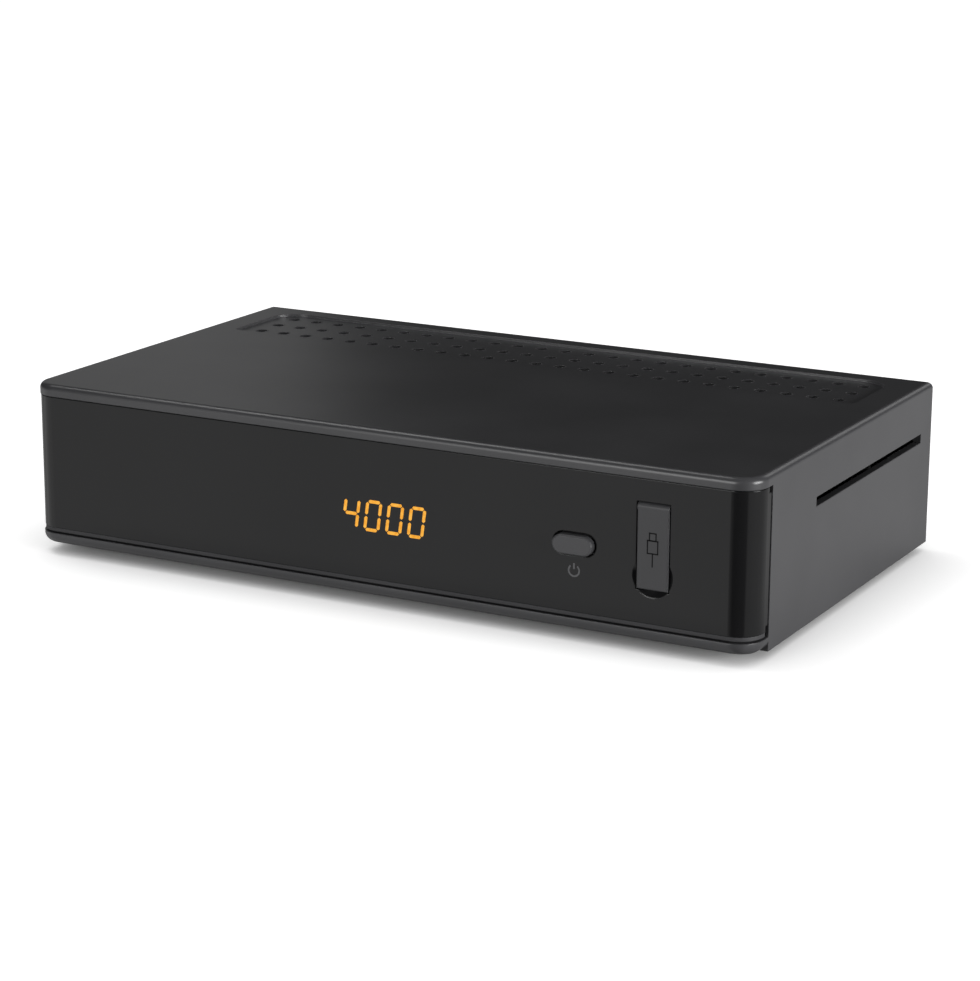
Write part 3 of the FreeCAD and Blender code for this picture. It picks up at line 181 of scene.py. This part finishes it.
def grid_faces(rows, columns, close_rows, close_columns):
    """Four-sided faces of a grid of vertices stored row by row, joined end to end where closed."""
    row = np.arange(rows if close_rows else rows - 1)[:, None]
    column = np.arange(columns if close_columns else columns - 1)[None, :]
    next_row, next_column = (row + 1) % rows, (column + 1) % columns
    faces = [row * columns + column, row * columns + next_column,
             next_row * columns + next_column, next_row * columns + column]
    return np.stack(np.broadcast_arrays(*faces), axis=-1).reshape(-1, 4)


def repeated(vertices, faces, places):
    """The same surface at each place: its vertices shifted, its faces counted on."""
    places = np.asarray(places, float)
    count = len(vertices)
    every = (vertices[None] + places[:, None]).reshape(-1, 3)
    shift = (np.arange(len(places)) * count)[:, None, None]
    return every, (faces[None] + shift).reshape(-1, faces.shape[1])


def new_piece(name, vertices, faces, materials, body, slot, smooth=True, crease=35):
    """A mesh object that rides on a body; the slot is not used. Faces that meet at more than the
    crease, in degrees, keep a sharp edge."""
    mesh = bpy.data.meshes.new(name)
    mesh.from_pydata(vertices.tolist(), [], faces.tolist())
    mesh.polygons.foreach_set("use_smooth", np.full(len(mesh.polygons), smooth))
    mesh.update()
    if smooth:
        mesh.set_sharp_from_angle(angle=math.radians(crease))
    for material in materials:
        mesh.materials.append(material)
    piece = bpy.data.objects.new(name, mesh)
    bpy.context.scene.collection.objects.link(piece)
    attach(piece, body)
    return piece


housing_low, housing_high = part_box("upper_housing")
recess_level = housing_high.z - RECESS_SINK
vent_profile = [
    (VENT_LAND, -VENT_SKIRT),
    (VENT_LAND, VENT_LIFT),
    (VENT_MOUTH + VENT_ROUNDING, VENT_LIFT),
    (VENT_MOUTH - VENT_ROUNDING, -VENT_ROUNDING_DEPTH),
    (VENT_THROAT, -VENT_DEPTH),
    (VENT_THROAT + VENT_WALL, -VENT_DEPTH),
]
vent_x = np.linspace(housing_low.x + VENT_SIDE_MARGIN, housing_high.x - VENT_SIDE_MARGIN,
                     VENT_COLUMNS)
vent_y = housing_high.y - VENT_REAR_MARGIN - VENT_ROW_STEP * np.arange(VENT_ROWS)
vent_places = [(x, y, recess_level) for y in vent_y for x in vent_x]
# ABS, rough where the mould's pins left it: flat inside the holes, and painted darker there as shade
bore_shade_abs = moulded("abs_bore_painted_shade", "#323233", "#38383a", roughness=0.8, specular=0.1,
                   grain=HOUSING_GRAIN, height=HOUSING_RELIEF, edge=0.0)
funnel, funnel_faces = turned(vent_profile[::-1], VENT_SIDES)
vent_funnels = new_piece("vent_funnels", *repeated(funnel, funnel_faces, vent_places),
                         [housing_abs, bore_shade_abs], "receiver", "housing_plastic")
# The bore's faces get the material with the painted shade, the land keeps the housing's
ring_number = np.arange(len(vent_funnels.data.polygons)) // VENT_SIDES % len(vent_profile)
inside = np.isin(ring_number, BORE_RINGS).astype(np.int32)
vent_funnels.data.polygons.foreach_set("material_index", inside)


# Front panel
# A separate thin moulding in smoked ABS that wraps round both corners, polished in the mould and
# stuck to the carrier behind it.

# Smoked ABS, moulded against a polished skin: darker and smoother than the housing
panel_abs = moulded("abs_polished_smoked_grey", "#1a1a1b", "#1d1d1e", roughness=0.15, specular=0.31,
                    grain=1.2 * MM, height=0.0006 * MM)
finish_nodes(panel_abs, "front_panel")


# Panel carrier and base tray
# Two plain mouldings. The carrier's ledge shows as a thin strip between the panel and the rail,
# and the tray closes the box from below.

# ABS, moulded against a plain machined skin: a shade darker than the housing and flatter
tray_abs = moulded("abs_plain_dark_grey", "#3e3e40", "#464648", roughness=0.55, specular=0.3,
                   grain=0.6 * MM, height=0.006 * MM)
finish_nodes(tray_abs, "panel_carrier", "base_tray")


# Rubber feet
# Four discs punched from black sheet rubber, stuck in round recesses under the tray.

# EPDM rubber sheet: matt black with a fine powdery skin
foot_rubber = moulded("epdm_rubber_black", "#151516", "#1d1d1e", roughness=0.85, specular=0.25,
                      grain=0.35 * MM, height=0.02 * MM, edge=0.3 * MM)
finish_nodes(foot_rubber, "rubber_feet")


# Power button
# A long round-ended cap, a shade lighter than the housing, which slides in the carrier and
# presses a small switch on the front board.

# ABS, moulded with a satin skin and soft edges
button_abs = moulded("abs_satin_mid_grey", "#4c4c4e", "#525254", roughness=0.42, specular=0.4,
                     grain=0.5 * MM, height=0.002 * MM, edge=0.25 * MM)
finish_nodes(button_abs, "power_button")


# Standby mark
# An open ring with a bar, printed in pale grey ink below the button.

PRINT_LIFT = 0.015 * MM
PRINT_THICK = 0.01 * MM
INK_GRAIN = 0.4 * MM
MARK_RADIUS = 1.16 * MM
MARK_STROKE = 0.36 * MM
MARK_DROP = 5.43 * MM
MARK_OPENING = math.radians(38)
MARK_STEPS = 40
BAR_FOOT = 0.3 * MM
BAR_RISE = 0.35 * MM


def ribbon(points, width, front):
    """A flat band on an upright face: at each point of the open line it spreads half the width to
    both sides along the line's normal, and it is as thick as the print."""
    points = np.asarray(points, float)
    step = np.gradient(points, axis=0)
    step /= np.linalg.norm(step, axis=1, keepdims=True)
    side = np.stack([-step[:, 1], step[:, 0]], axis=1) * width / 2
    left, right = points + side, points - side
    back = front + PRINT_THICK
    rim = [(left, front), (right, front), (right, back), (left, back)]
    rows = [np.stack([line[:, 0], np.full(len(line), depth), line[:, 1]], axis=1)
            for line, depth in rim]
    vertices = np.stack(rows, axis=1).reshape(-1, 3)
    last = 4 * (len(points) - 1)
    end_caps = [[3, 2, 1, 0], [last, last + 1, last + 2, last + 3]]
    return vertices, np.vstack([grid_faces(len(points), 4, False, True), end_caps])


def gathered(parts):
    """Several surfaces as one: vertices in a row, faces counted on."""
    shift = np.cumsum([0] + [len(vertices) for vertices, _ in parts[:-1]])
    faces = [faces + start for (_, faces), start in zip(parts, shift)]
    return np.vstack([vertices for vertices, _ in parts]), np.vstack(faces)


# Screen ink on plastic: flat pale grey, slightly uneven where the mesh laid it down
ink_grey, ink_shader, ink_place = shaded(
    "screen_ink_pale_grey", {"Roughness": 0.6, "Specular IOR Level": 0.3})
ink_spread = add(ink_grey, "ShaderNodeTexNoise", {"Scale": 1 / INK_GRAIN},
                 {"Vector": (ink_place, "Object")})
tint(ink_grey, ink_shader, ink_spread, "Fac", "#6a6a6c", "#767678")

panel_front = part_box("front_panel")[0].y
button_low, button_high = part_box("power_button")
button_x = (button_low.x + button_high.x) / 2
button_z = (button_low.z + button_high.z) / 2
mark_z = button_z - MARK_DROP
turn = np.linspace(math.pi / 2 + MARK_OPENING, 2.5 * math.pi - MARK_OPENING, MARK_STEPS)
ring_line = np.stack([button_x + MARK_RADIUS * np.cos(turn), mark_z + MARK_RADIUS * np.sin(turn)],
                     axis=1)
bar_line = [(button_x, mark_z + BAR_FOOT), (button_x, mark_z + MARK_RADIUS + BAR_RISE)]
print_front = panel_front - PRINT_LIFT
new_piece("standby_mark", *gathered([ribbon(ring_line, MARK_STROKE, print_front),
                                     ribbon(bar_line, MARK_STROKE, print_front)]),
          [ink_grey], "receiver", "panel_plastic", smooth=False)


# Lit digits
# Four seven-segment digits of the display. Only the lit segments are made, each a thin glowing
# bar with pointed ends. They lie on the panel's face, where their light comes through it.

DIGITS = "4000"
SEGMENTS = {"4": "bcfg", "0": "abcdef"}
DIGIT_TALL = 6.7 * MM
DIGIT_WIDE = 3.8 * MM
DIGIT_PITCH = 5.12 * MM
DIGIT_SLANT = 0.13
DIGIT_STROKE = 0.7 * MM
DIGIT_GAP = 0.16 * MM
POINT_SHARE = 0.8
DISPLAY_SHIFT = 0.1 * MM
DISPLAY_RISE = 0.3 * MM
LED_GRAIN = 0.7 * MM
LED_LIGHT = 0.68
# Both ends of each segment's middle line, in half widths and half heights of the digit
SEGMENT_ENDS = {
    "a": ((-1, 1), (1, 1)),
    "b": ((1, 1), (1, 0)),
    "c": ((1, 0), (1, -1)),
    "d": ((-1, -1), (1, -1)),
    "e": ((-1, 0), (-1, -1)),
    "f": ((-1, 1), (-1, 0)),
    "g": ((-1, 0), (1, 0)),
}


def segment(letter, x, z, front):
    """A bar with pointed ends: six corners round the middle line, drawn in by the gap, then
    leaned sideways by the slant times the height. The points take a share of half the stroke."""
    half = np.array([(DIGIT_WIDE - DIGIT_STROKE) / 2, (DIGIT_TALL - DIGIT_STROKE) / 2])
    start, end = (np.array(place) * half for place in SEGMENT_ENDS[letter])
    along = (end - start) / np.linalg.norm(end - start)
    across = np.array([-along[1], along[0]]) * DIGIT_STROKE / 2
    start, end = start + along * DIGIT_GAP, end - along * DIGIT_GAP
    shoulder = along * DIGIT_STROKE / 2 * POINT_SHARE
    outline = np.array([start, start + shoulder - across, end - shoulder - across,
                        end, end - shoulder + across, start + shoulder + across])
    outline[:, 0] += DIGIT_SLANT * outline[:, 1]
    outline += (x, z)
    corners = len(outline)
    layers = [np.stack([outline[:, 0], np.full(corners, depth), outline[:, 1]], axis=1)
              for depth in (front, front + PRINT_THICK)]
    sides = grid_faces(2, corners, False, True)
    caps = [[0, 1, 2, 3], [0, 3, 4, 5], [9, 8, 7, 6], [11, 10, 9, 6]]
    return np.vstack(layers), np.vstack([sides[:, ::-1], caps])


# Gallium phosphide diodes under a diffusing lens: an orange glow with a faint grain
led_orange, led_shader, led_place = shaded(
    "led_segment_orange",
    {"Roughness": 0.5, "Specular IOR Level": 0.0, "Emission Strength": LED_LIGHT})
led_grain = add(led_orange, "ShaderNodeTexNoise", {"Scale": 1 / LED_GRAIN},
                {"Vector": (led_place, "Object")})
led_ramp = tint(led_orange, led_shader, led_grain, "Fac", "#e59a33", "#f0b04a")
join(led_orange, led_ramp, "Color", led_shader, "Emission Color")
display_low, display_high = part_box("display_module")
display_x = (display_low.x + display_high.x) / 2 + DISPLAY_SHIFT
display_z = (display_low.z + display_high.z) / 2 + DISPLAY_RISE
digit_x = display_x + DIGIT_PITCH * (np.arange(len(DIGITS)) - (len(DIGITS) - 1) / 2)
lit = [segment(letter, x, display_z, print_front)
       for digit, x in zip(DIGITS, digit_x)
       for letter in SEGMENTS[digit]]
new_piece("lit_digits", *gathered(lit), [led_orange], "receiver", "display_lens", smooth=False)


# Cover of the front socket
# A small flap hinged on a steel pin at its top. A plug outline stands for the mark engraved in
# it: thin bands on the face, in the colour of a groove in shadow.

COVER_MARK_STROKE = 0.26 * MM
PLUG_WIDE = 2.2 * MM
PLUG_TALL = 2.6 * MM
SHELL_WIDE = 1.4 * MM
SHELL_TALL = 1.5 * MM
TAIL_TALL = 2.6 * MM

# ABS, moulded with a fine satin skin: the housing's grey, but less glossy
cover_abs = moulded("abs_satin_cover_grey", "#434345", "#49494b", roughness=0.45, specular=0.38,
                    grain=0.5 * MM, height=0.003 * MM, edge=0.15 * MM)
finish_nodes(cover_abs, "usb_cover")

# The lines of the mark: the cover's own plastic in shadow
groove_abs = moulded("abs_engraved_shadow", "#1c1c1d", "#222223", roughness=0.7, specular=0.1,
                     grain=0.3 * MM, height=0.002 * MM, edge=0.0)
cover_low, cover_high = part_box("usb_cover")
cover_x = (cover_low.x + cover_high.x) / 2
cover_z = (cover_low.z + cover_high.z) / 2
cover_face = cover_low.y - PRINT_LIFT


def outline_box(x, z, wide, tall):
    """Corners of an upright box round its middle."""
    return [(x - wide / 2, z - tall / 2), (x + wide / 2, z - tall / 2),
            (x + wide / 2, z + tall / 2), (x - wide / 2, z + tall / 2)]


def strokes(corners, closed=True):
    """One straight band from each corner to the next, a little overlong so that corners meet."""
    corners = np.asarray(corners, float)
    ends = np.roll(corners, -1, axis=0) if closed else corners[1:]
    starts = corners if closed else corners[:-1]
    bands = []
    for start, end in zip(starts, ends):
        along = (end - start) / np.linalg.norm(end - start) * COVER_MARK_STROKE / 2
        bands.append(ribbon([start - along, end + along], COVER_MARK_STROKE, cover_face))
    return bands


plug_mark = strokes(outline_box(cover_x, cover_z, PLUG_WIDE, PLUG_TALL))
plug_mark += strokes(outline_box(cover_x, cover_z + (PLUG_TALL + SHELL_TALL) / 2,
                                 SHELL_WIDE, SHELL_TALL))
plug_foot = cover_z - PLUG_TALL / 2
plug_mark += strokes([(cover_x, plug_foot), (cover_x, plug_foot - TAIL_TALL)], closed=False)
new_piece("cover_mark", *gathered(plug_mark), [groove_abs], "cover", "panel_plastic", smooth=False)


# Metal parts
# Screws, pins, shells, cans and connectors. Steel ones are zinc plated or tinned, and the
# aerial connectors and their nuts are turned brass with nickel.

STREAK_SIZE = 0.8 * MM


def metal(name, dark, light, roughness, streak, height, edge=0.12 * MM):
    """A metal whose colour varies in fine streaks left by rolling or turning. The streaks run
    along the axes where the streak's scale is small."""
    material, shader, place = shaded(name, {"Roughness": roughness, "Metallic": 1.0})
    stretch = add(material, "ShaderNodeMapping", {"Scale": streak}, {"Vector": (place, "Object")})
    lines = add(material, "ShaderNodeTexNoise", {"Scale": 1 / STREAK_SIZE, "Detail": 4.0},
                {"Vector": (stretch, "Vector")})
    tint(material, shader, lines, "Fac", dark, light, low=0.3, high=0.7)
    relief(material, shader, lines, "Fac", height, edge)
    return material


# Steel, zinc plated and bright passivated: cool grey with a slight haze
zinc_steel = metal("steel_zinc_plated", "#9fa2a4", "#b6b8b9", roughness=0.38,
                   streak=(1.0, 1.0, 0.3), height=0.004 * MM)
finish_nodes(zinc_steel, "case_screws", "board_screws", "front_board_screws", "usb_cover_pin")

# Steel sheet, tinned and folded: brighter, with long faint rolling lines
tinned_steel = metal("steel_tinned_sheet", "#b4b4b2", "#cbcbc8", roughness=0.3,
                     streak=(0.15, 1.0, 1.0), height=0.003 * MM)
finish_nodes(tinned_steel, "usb_shell", "tuner_can", "hdmi_shell", "crystal")

# Brass, turned and nickel plated: warm silver with rings round the turning axis
nickel = metal("brass_nickel_plated", "#b9b4aa", "#cdc8be", roughness=0.22, streak=(0.3, 1.0, 0.3),
               height=0.003 * MM)
finish_nodes(nickel, "aerial_input", "aerial_output", "aerial_nuts", "coax_barrel", "supply_pin")

# Phosphor bronze with a gold flash: small yellow springs
gold_bronze = metal("bronze_gold_flashed", "#c9a04e", "#dab765", roughness=0.25,
                    streak=(1.0, 0.3, 1.0), height=0.002 * MM, edge=0.0)
finish_nodes(gold_bronze, "network_contacts", "card_contacts")


# Insulators and small plastic parts
# Sockets, headers, switch, infrared receiver and card reader. Most are moulded in a glass-filled
# plastic that stands the heat of soldering.

# PBT with glass fibre: black and slightly streaky
black_pbt = moulded("pbt_glass_filled_black", "#161617", "#202021", roughness=0.48, specular=0.4,
                    grain=0.25 * MM, height=0.006 * MM, edge=0.12 * MM)
finish_nodes(black_pbt, "switch_body", "switch_plunger", "usb_insulator", "usb_stand", "front_header",
             "infrared_receiver", "scart_shell", "scart_insulator", "hdmi_tongue", "network_socket",
             "supply_socket", "card_reader", "card_header")

# Polyethylene: milky white and soft to the eye
white_pe = moulded("polyethylene_natural", "#d5d2c8", "#e2dfd6", roughness=0.5, specular=0.4,
                   grain=0.5 * MM, height=0.004 * MM, edge=0.1 * MM)
finish_nodes(white_pe, "aerial_insulators", "card_board_posts")

# ABS in the orange that marks a digital sound socket
orange_abs = moulded("abs_orange", "#c8641c", "#d66f24", roughness=0.4, specular=0.45,
                     grain=0.5 * MM, height=0.003 * MM, edge=0.12 * MM)
finish_nodes(orange_abs, "coax_block", "coax_insulator")

# Epoxy filled round the diodes: a dark brown face that only lit bars show through
display_epoxy = moulded("epoxy_dark_brown", "#171210", "#1f1815", roughness=0.35, specular=0.5,
                        grain=0.4 * MM, height=0.002 * MM)
finish_nodes(display_epoxy, "display_module")


# Rear panel
# A steel sheet punched with a cut-out for each socket and powder coated in dark grey.

# Powder coat on steel: a fine orange-peel skin
powder_coat = moulded("steel_powder_coated_dark", "#28282a", "#303032", roughness=0.55,
                      specular=0.4, grain=0.7 * MM, height=0.02 * MM, edge=0.1 * MM)
finish_nodes(powder_coat, "rear_panel")


# Circuit boards
# Glass-epoxy laminate with copper tracks under green solder mask. Tracks run in two directions.

TRACK_PITCH = 2.54 * MM
TRACK_LENGTH = 6 * TRACK_PITCH
TRACK_WIDTH = 0.45 * MM
COPPER_THICK = 0.03 * MM

# Solder mask over copper: glossy green, lighter where a track lies under it
board_mask, mask_shader, mask_place = shaded(
    "laminate_green_solder_mask", {"Roughness": 0.32, "IOR": PLASTIC_IOR})
tracks = add(board_mask, "ShaderNodeTexBrick",
             {"Scale": 1.0, "Mortar Size": TRACK_WIDTH, "Brick Width": TRACK_LENGTH,
              "Row Height": TRACK_PITCH, "Color1": (0, 0, 0, 1),
              "Color2": (0.12, 0.12, 0.12, 1), "Mortar": (1, 1, 1, 1)},
             {"Vector": (mask_place, "Object")})
tint(board_mask, mask_shader, tracks, "Color", "#11422a", "#1f6b43", low=0.1, high=0.9)
relief(board_mask, mask_shader, tracks, "Color", COPPER_THICK)
finish_nodes(board_mask, "main_board", "front_board", "card_board")


# Parts on the boards
# Chips in moulded epoxy, an extruded heat sink on a soft pad, sleeved capacitors and pressed
# coils.

# Epoxy moulding compound: charcoal with a fine sandy skin
chip_epoxy = moulded("epoxy_moulding_compound", "#1d1d1f", "#272729", roughness=0.6, specular=0.35,
                     grain=0.2 * MM, height=0.006 * MM, edge=0.1 * MM)
finish_nodes(chip_epoxy, "main_chip", "memory_chips", "flash_chip")

# Silicone filled with ceramic: soft blue-grey
pad_silicone = moulded("silicone_thermal_pad", "#7f8a92", "#8d979e", roughness=0.75, specular=0.3,
                       grain=0.4 * MM, height=0.01 * MM)
finish_nodes(pad_silicone, "thermal_pad")

# Aluminium, extruded and anodised dark: straight die lines along the fins
anodised = metal("aluminium_extruded_anodised", "#3b3d40", "#484a4d", roughness=0.4,
                 streak=(1.0, 0.05, 1.0), height=0.01 * MM)
finish_nodes(anodised, "heat_sink")

# PVC sleeve shrunk on the cans: dark blue and glossy
sleeve_pvc = moulded("pvc_shrunk_sleeve", "#1d2740", "#26324e", roughness=0.3, specular=0.5,
                     grain=0.8 * MM, height=0.003 * MM)
finish_nodes(sleeve_pvc, "capacitors")

# Pressed iron powder: flat grey and grainy
coil_powder = moulded("iron_powder_pressed", "#4a4b4c", "#5b5c5d", roughness=0.7, specular=0.3,
                      grain=0.3 * MM, height=0.02 * MM)
finish_nodes(coil_powder, "power_coils")


# Stage
# A floor and a surround that the camera sees as white, and five soft lamps. Reflections see a
# darker surround and a floor toned by direction, because the photographed roof and panel are dark.

FLOOR_SIZE = 6.0
FLOOR_PALE = "#ececec"
FLOOR_BOUNCE = "#585858"
FLOOR_WHITE = 0.95
FLOOR_REACH = 30 * MM
FLOOR_SAMPLES = 16
FAR_CORNER = (81 * MM, -51 * MM, 0)
GAP_START = 0.209
GAP_START_SOFT = 0.02
GAP_END = 0.388
GAP_END_SOFT = 0.008
SIDE_GREY = 0.5
SURROUND = 0.02
# Each lamp's place, size and power, and the point that it faces
LAMPS = {
    "right_light": ((1.1, -0.1, 0.09), 0.6, 17.5, (0.08, 0, 0.02)),
    "top_light": ((-0.5, -0.05, 1.0), 0.4, 2.2, (0, 0, 0)),
    "back_light": ((0.3, 0.95, 0.52), 0.4, 0.6, (0.08, 0, 0.038)),
    "left_light": ((-0.75, 0.7, 0.3), 0.5, 0.2, (-0.04, 0, 0.038)),
    "front_light": ((-0.3, -1.3, 0.25), 0.6, 7.5, (0, 0, 0.02)),
}


def switch(material, ray_kind, other, other_output, chosen, chosen_output):
    """Shows the chosen shader to one kind of ray and the other shader to the rest."""
    ray = add(material, "ShaderNodeLightPath")
    mixed = add(material, "ShaderNodeMixShader", links={"Fac": (ray, ray_kind)})
    join(material, other, other_output, mixed, 1)
    join(material, chosen, chosen_output, mixed, 2)
    return mixed


def soft_light(name, place, size, power, target):
    """A square lamp at a place, turned to face the target."""
    lamp = bpy.data.lights.new(name, "AREA")
    lamp.size = size
    lamp.energy = power
    made = bpy.data.objects.new(name, lamp)
    made.location = place
    made.rotation_euler = (Vector(target) - Vector(place)).to_track_quat("-Z", "Y").to_euler()
    bpy.context.scene.collection.objects.link(made)


floor_paint = bpy.data.materials.new("floor_paint_white")
floor_paint.use_nodes = True
floor_paint.node_tree.nodes.clear()

# The floor's tone in reflections: white to the left of the right front corner, dark in the gap
# in front of it and grey to its right and behind, by the angle round it in shares of a turn
floor_place = add(floor_paint, "ShaderNodeTexCoord")
from_corner = add(floor_paint, "ShaderNodeMapping", {"Location": FAR_CORNER},
                  {"Vector": (floor_place, "Object")}, vector_type="TEXTURE")
round_corner = add(floor_paint, "ShaderNodeTexGradient", links={"Vector": (from_corner, "Vector")},
                   gradient_type="RADIAL")
mirrored = add(floor_paint, "ShaderNodeValToRGB", links={"Fac": (round_corner, "Fac")})
mirrored.color_ramp.elements[0].color = (1, 1, 1, 1)
mirrored.color_ramp.elements[0].position = GAP_START - GAP_START_SOFT
mirrored.color_ramp.elements[1].color = (0, 0, 0, 1)
mirrored.color_ramp.elements[1].position = GAP_START + GAP_START_SOFT
for stop, grey in ((GAP_END - GAP_END_SOFT, 0.0), (GAP_END + GAP_END_SOFT, SIDE_GREY)):
    mirrored.color_ramp.elements.new(stop).color = (grey, grey, grey, 1)

# Camera rays see white, and the sky hidden by the box darkens the floor close to it
seen = add(floor_paint, "ShaderNodeLightPath")
open_sky = add(floor_paint, "ShaderNodeAmbientOcclusion", {"Distance": FLOOR_REACH},
               samples=FLOOR_SAMPLES)
tone = add(floor_paint, "ShaderNodeMath",
           links={0: (mirrored, "Color"), 1: (seen, "Is Camera Ray")}, operation="MAXIMUM")
shade = add(floor_paint, "ShaderNodeMath", links={0: (tone, "Value"), 1: (open_sky, "AO")},
            operation="MULTIPLY")
lift = add(floor_paint, "ShaderNodeMath", {1: FLOOR_WHITE}, {0: (shade, "Value")},
           operation="MULTIPLY")
glow = add(floor_paint, "ShaderNodeEmission", links={"Strength": (lift, "Value")})

# The camera sees pale paint with the glow, reflections the glow alone, other rays darker paint
matt = add(floor_paint, "ShaderNodeBsdfDiffuse", {"Color": linear(FLOOR_BOUNCE)})
pale = add(floor_paint, "ShaderNodeBsdfDiffuse", {"Color": linear(FLOOR_PALE)})
lifted = add(floor_paint, "ShaderNodeAddShader")
join(floor_paint, pale, "BSDF", lifted, 0)
join(floor_paint, glow, "Emission", lifted, 1)
mirror = switch(floor_paint, "Is Glossy Ray", matt, "BSDF", glow, "Emission")
shown = switch(floor_paint, "Is Camera Ray", mirror, "Shader", lifted, "Shader")
add(floor_paint, "ShaderNodeOutputMaterial", links={"Surface": (shown, "Shader")})

reach = FLOOR_SIZE / 2
floor_mesh = bpy.data.meshes.new("floor")
floor_mesh.from_pydata([(-reach, -reach, 0), (reach, -reach, 0), (reach, reach, 0), (-reach, reach, 0)],
                       [], [(0, 1, 2, 3)])
floor_mesh.materials.append(floor_paint)
floor = bpy.data.objects.new("floor", floor_mesh)
bpy.context.scene.collection.objects.link(floor)

# The surround: white to the camera, nearly black to every other ray
world = bpy.data.worlds.new("surround")
bpy.context.scene.world = world
world.use_nodes = True
world.node_tree.nodes.clear()
even = add(world, "ShaderNodeBackground", {"Color": (1, 1, 1, 1), "Strength": SURROUND})
white = add(world, "ShaderNodeBackground", {"Color": (1, 1, 1, 1), "Strength": 1.0})
backdrop = switch(world, "Is Camera Ray", even, "Background", white, "Background")
add(world, "ShaderNodeOutputWorld", links={"Surface": (backdrop, "Shader")})

for name, (place, size, power, target) in LAMPS.items():
    soft_light(name, place, size, power, target)


# Camera
# Placed where the photograph's edges meet: a long lens at the right front, a little above.

CAMERA_PLACE = (288.9 * MM, -542.4 * MM, 176.9 * MM)
CAMERA_YAW = math.radians(28.07)
CAMERA_PITCH = math.radians(14.98)
CAMERA_ROLL = math.radians(0.338)
CAMERA_LENS = 106.2
CAMERA_SENSOR = 36.0
CAMERA_SHIFT = (-0.0009, 0.0011)

ahead = Vector((-math.sin(CAMERA_YAW) * math.cos(CAMERA_PITCH),
                math.cos(CAMERA_YAW) * math.cos(CAMERA_PITCH),
                -math.sin(CAMERA_PITCH)))
level = Vector((math.cos(CAMERA_YAW), math.sin(CAMERA_YAW), 0))
upright = level.cross(ahead)
across = level * math.cos(CAMERA_ROLL) + upright * math.sin(CAMERA_ROLL)
above = upright * math.cos(CAMERA_ROLL) - level * math.sin(CAMERA_ROLL)
lens = bpy.data.cameras.new("camera")
lens.sensor_fit = "HORIZONTAL"
lens.sensor_width = CAMERA_SENSOR
lens.lens = CAMERA_LENS
lens.shift_x, lens.shift_y = CAMERA_SHIFT
camera = bpy.data.objects.new("camera", lens)
facing = Matrix((across, above, -ahead)).transposed().to_4x4()
camera.matrix_world = Matrix.Translation(CAMERA_PLACE) @ facing
bpy.context.scene.collection.objects.link(camera)
bpy.context.scene.camera = camera
bpy.context.scene.view_settings.view_transform = "Standard"
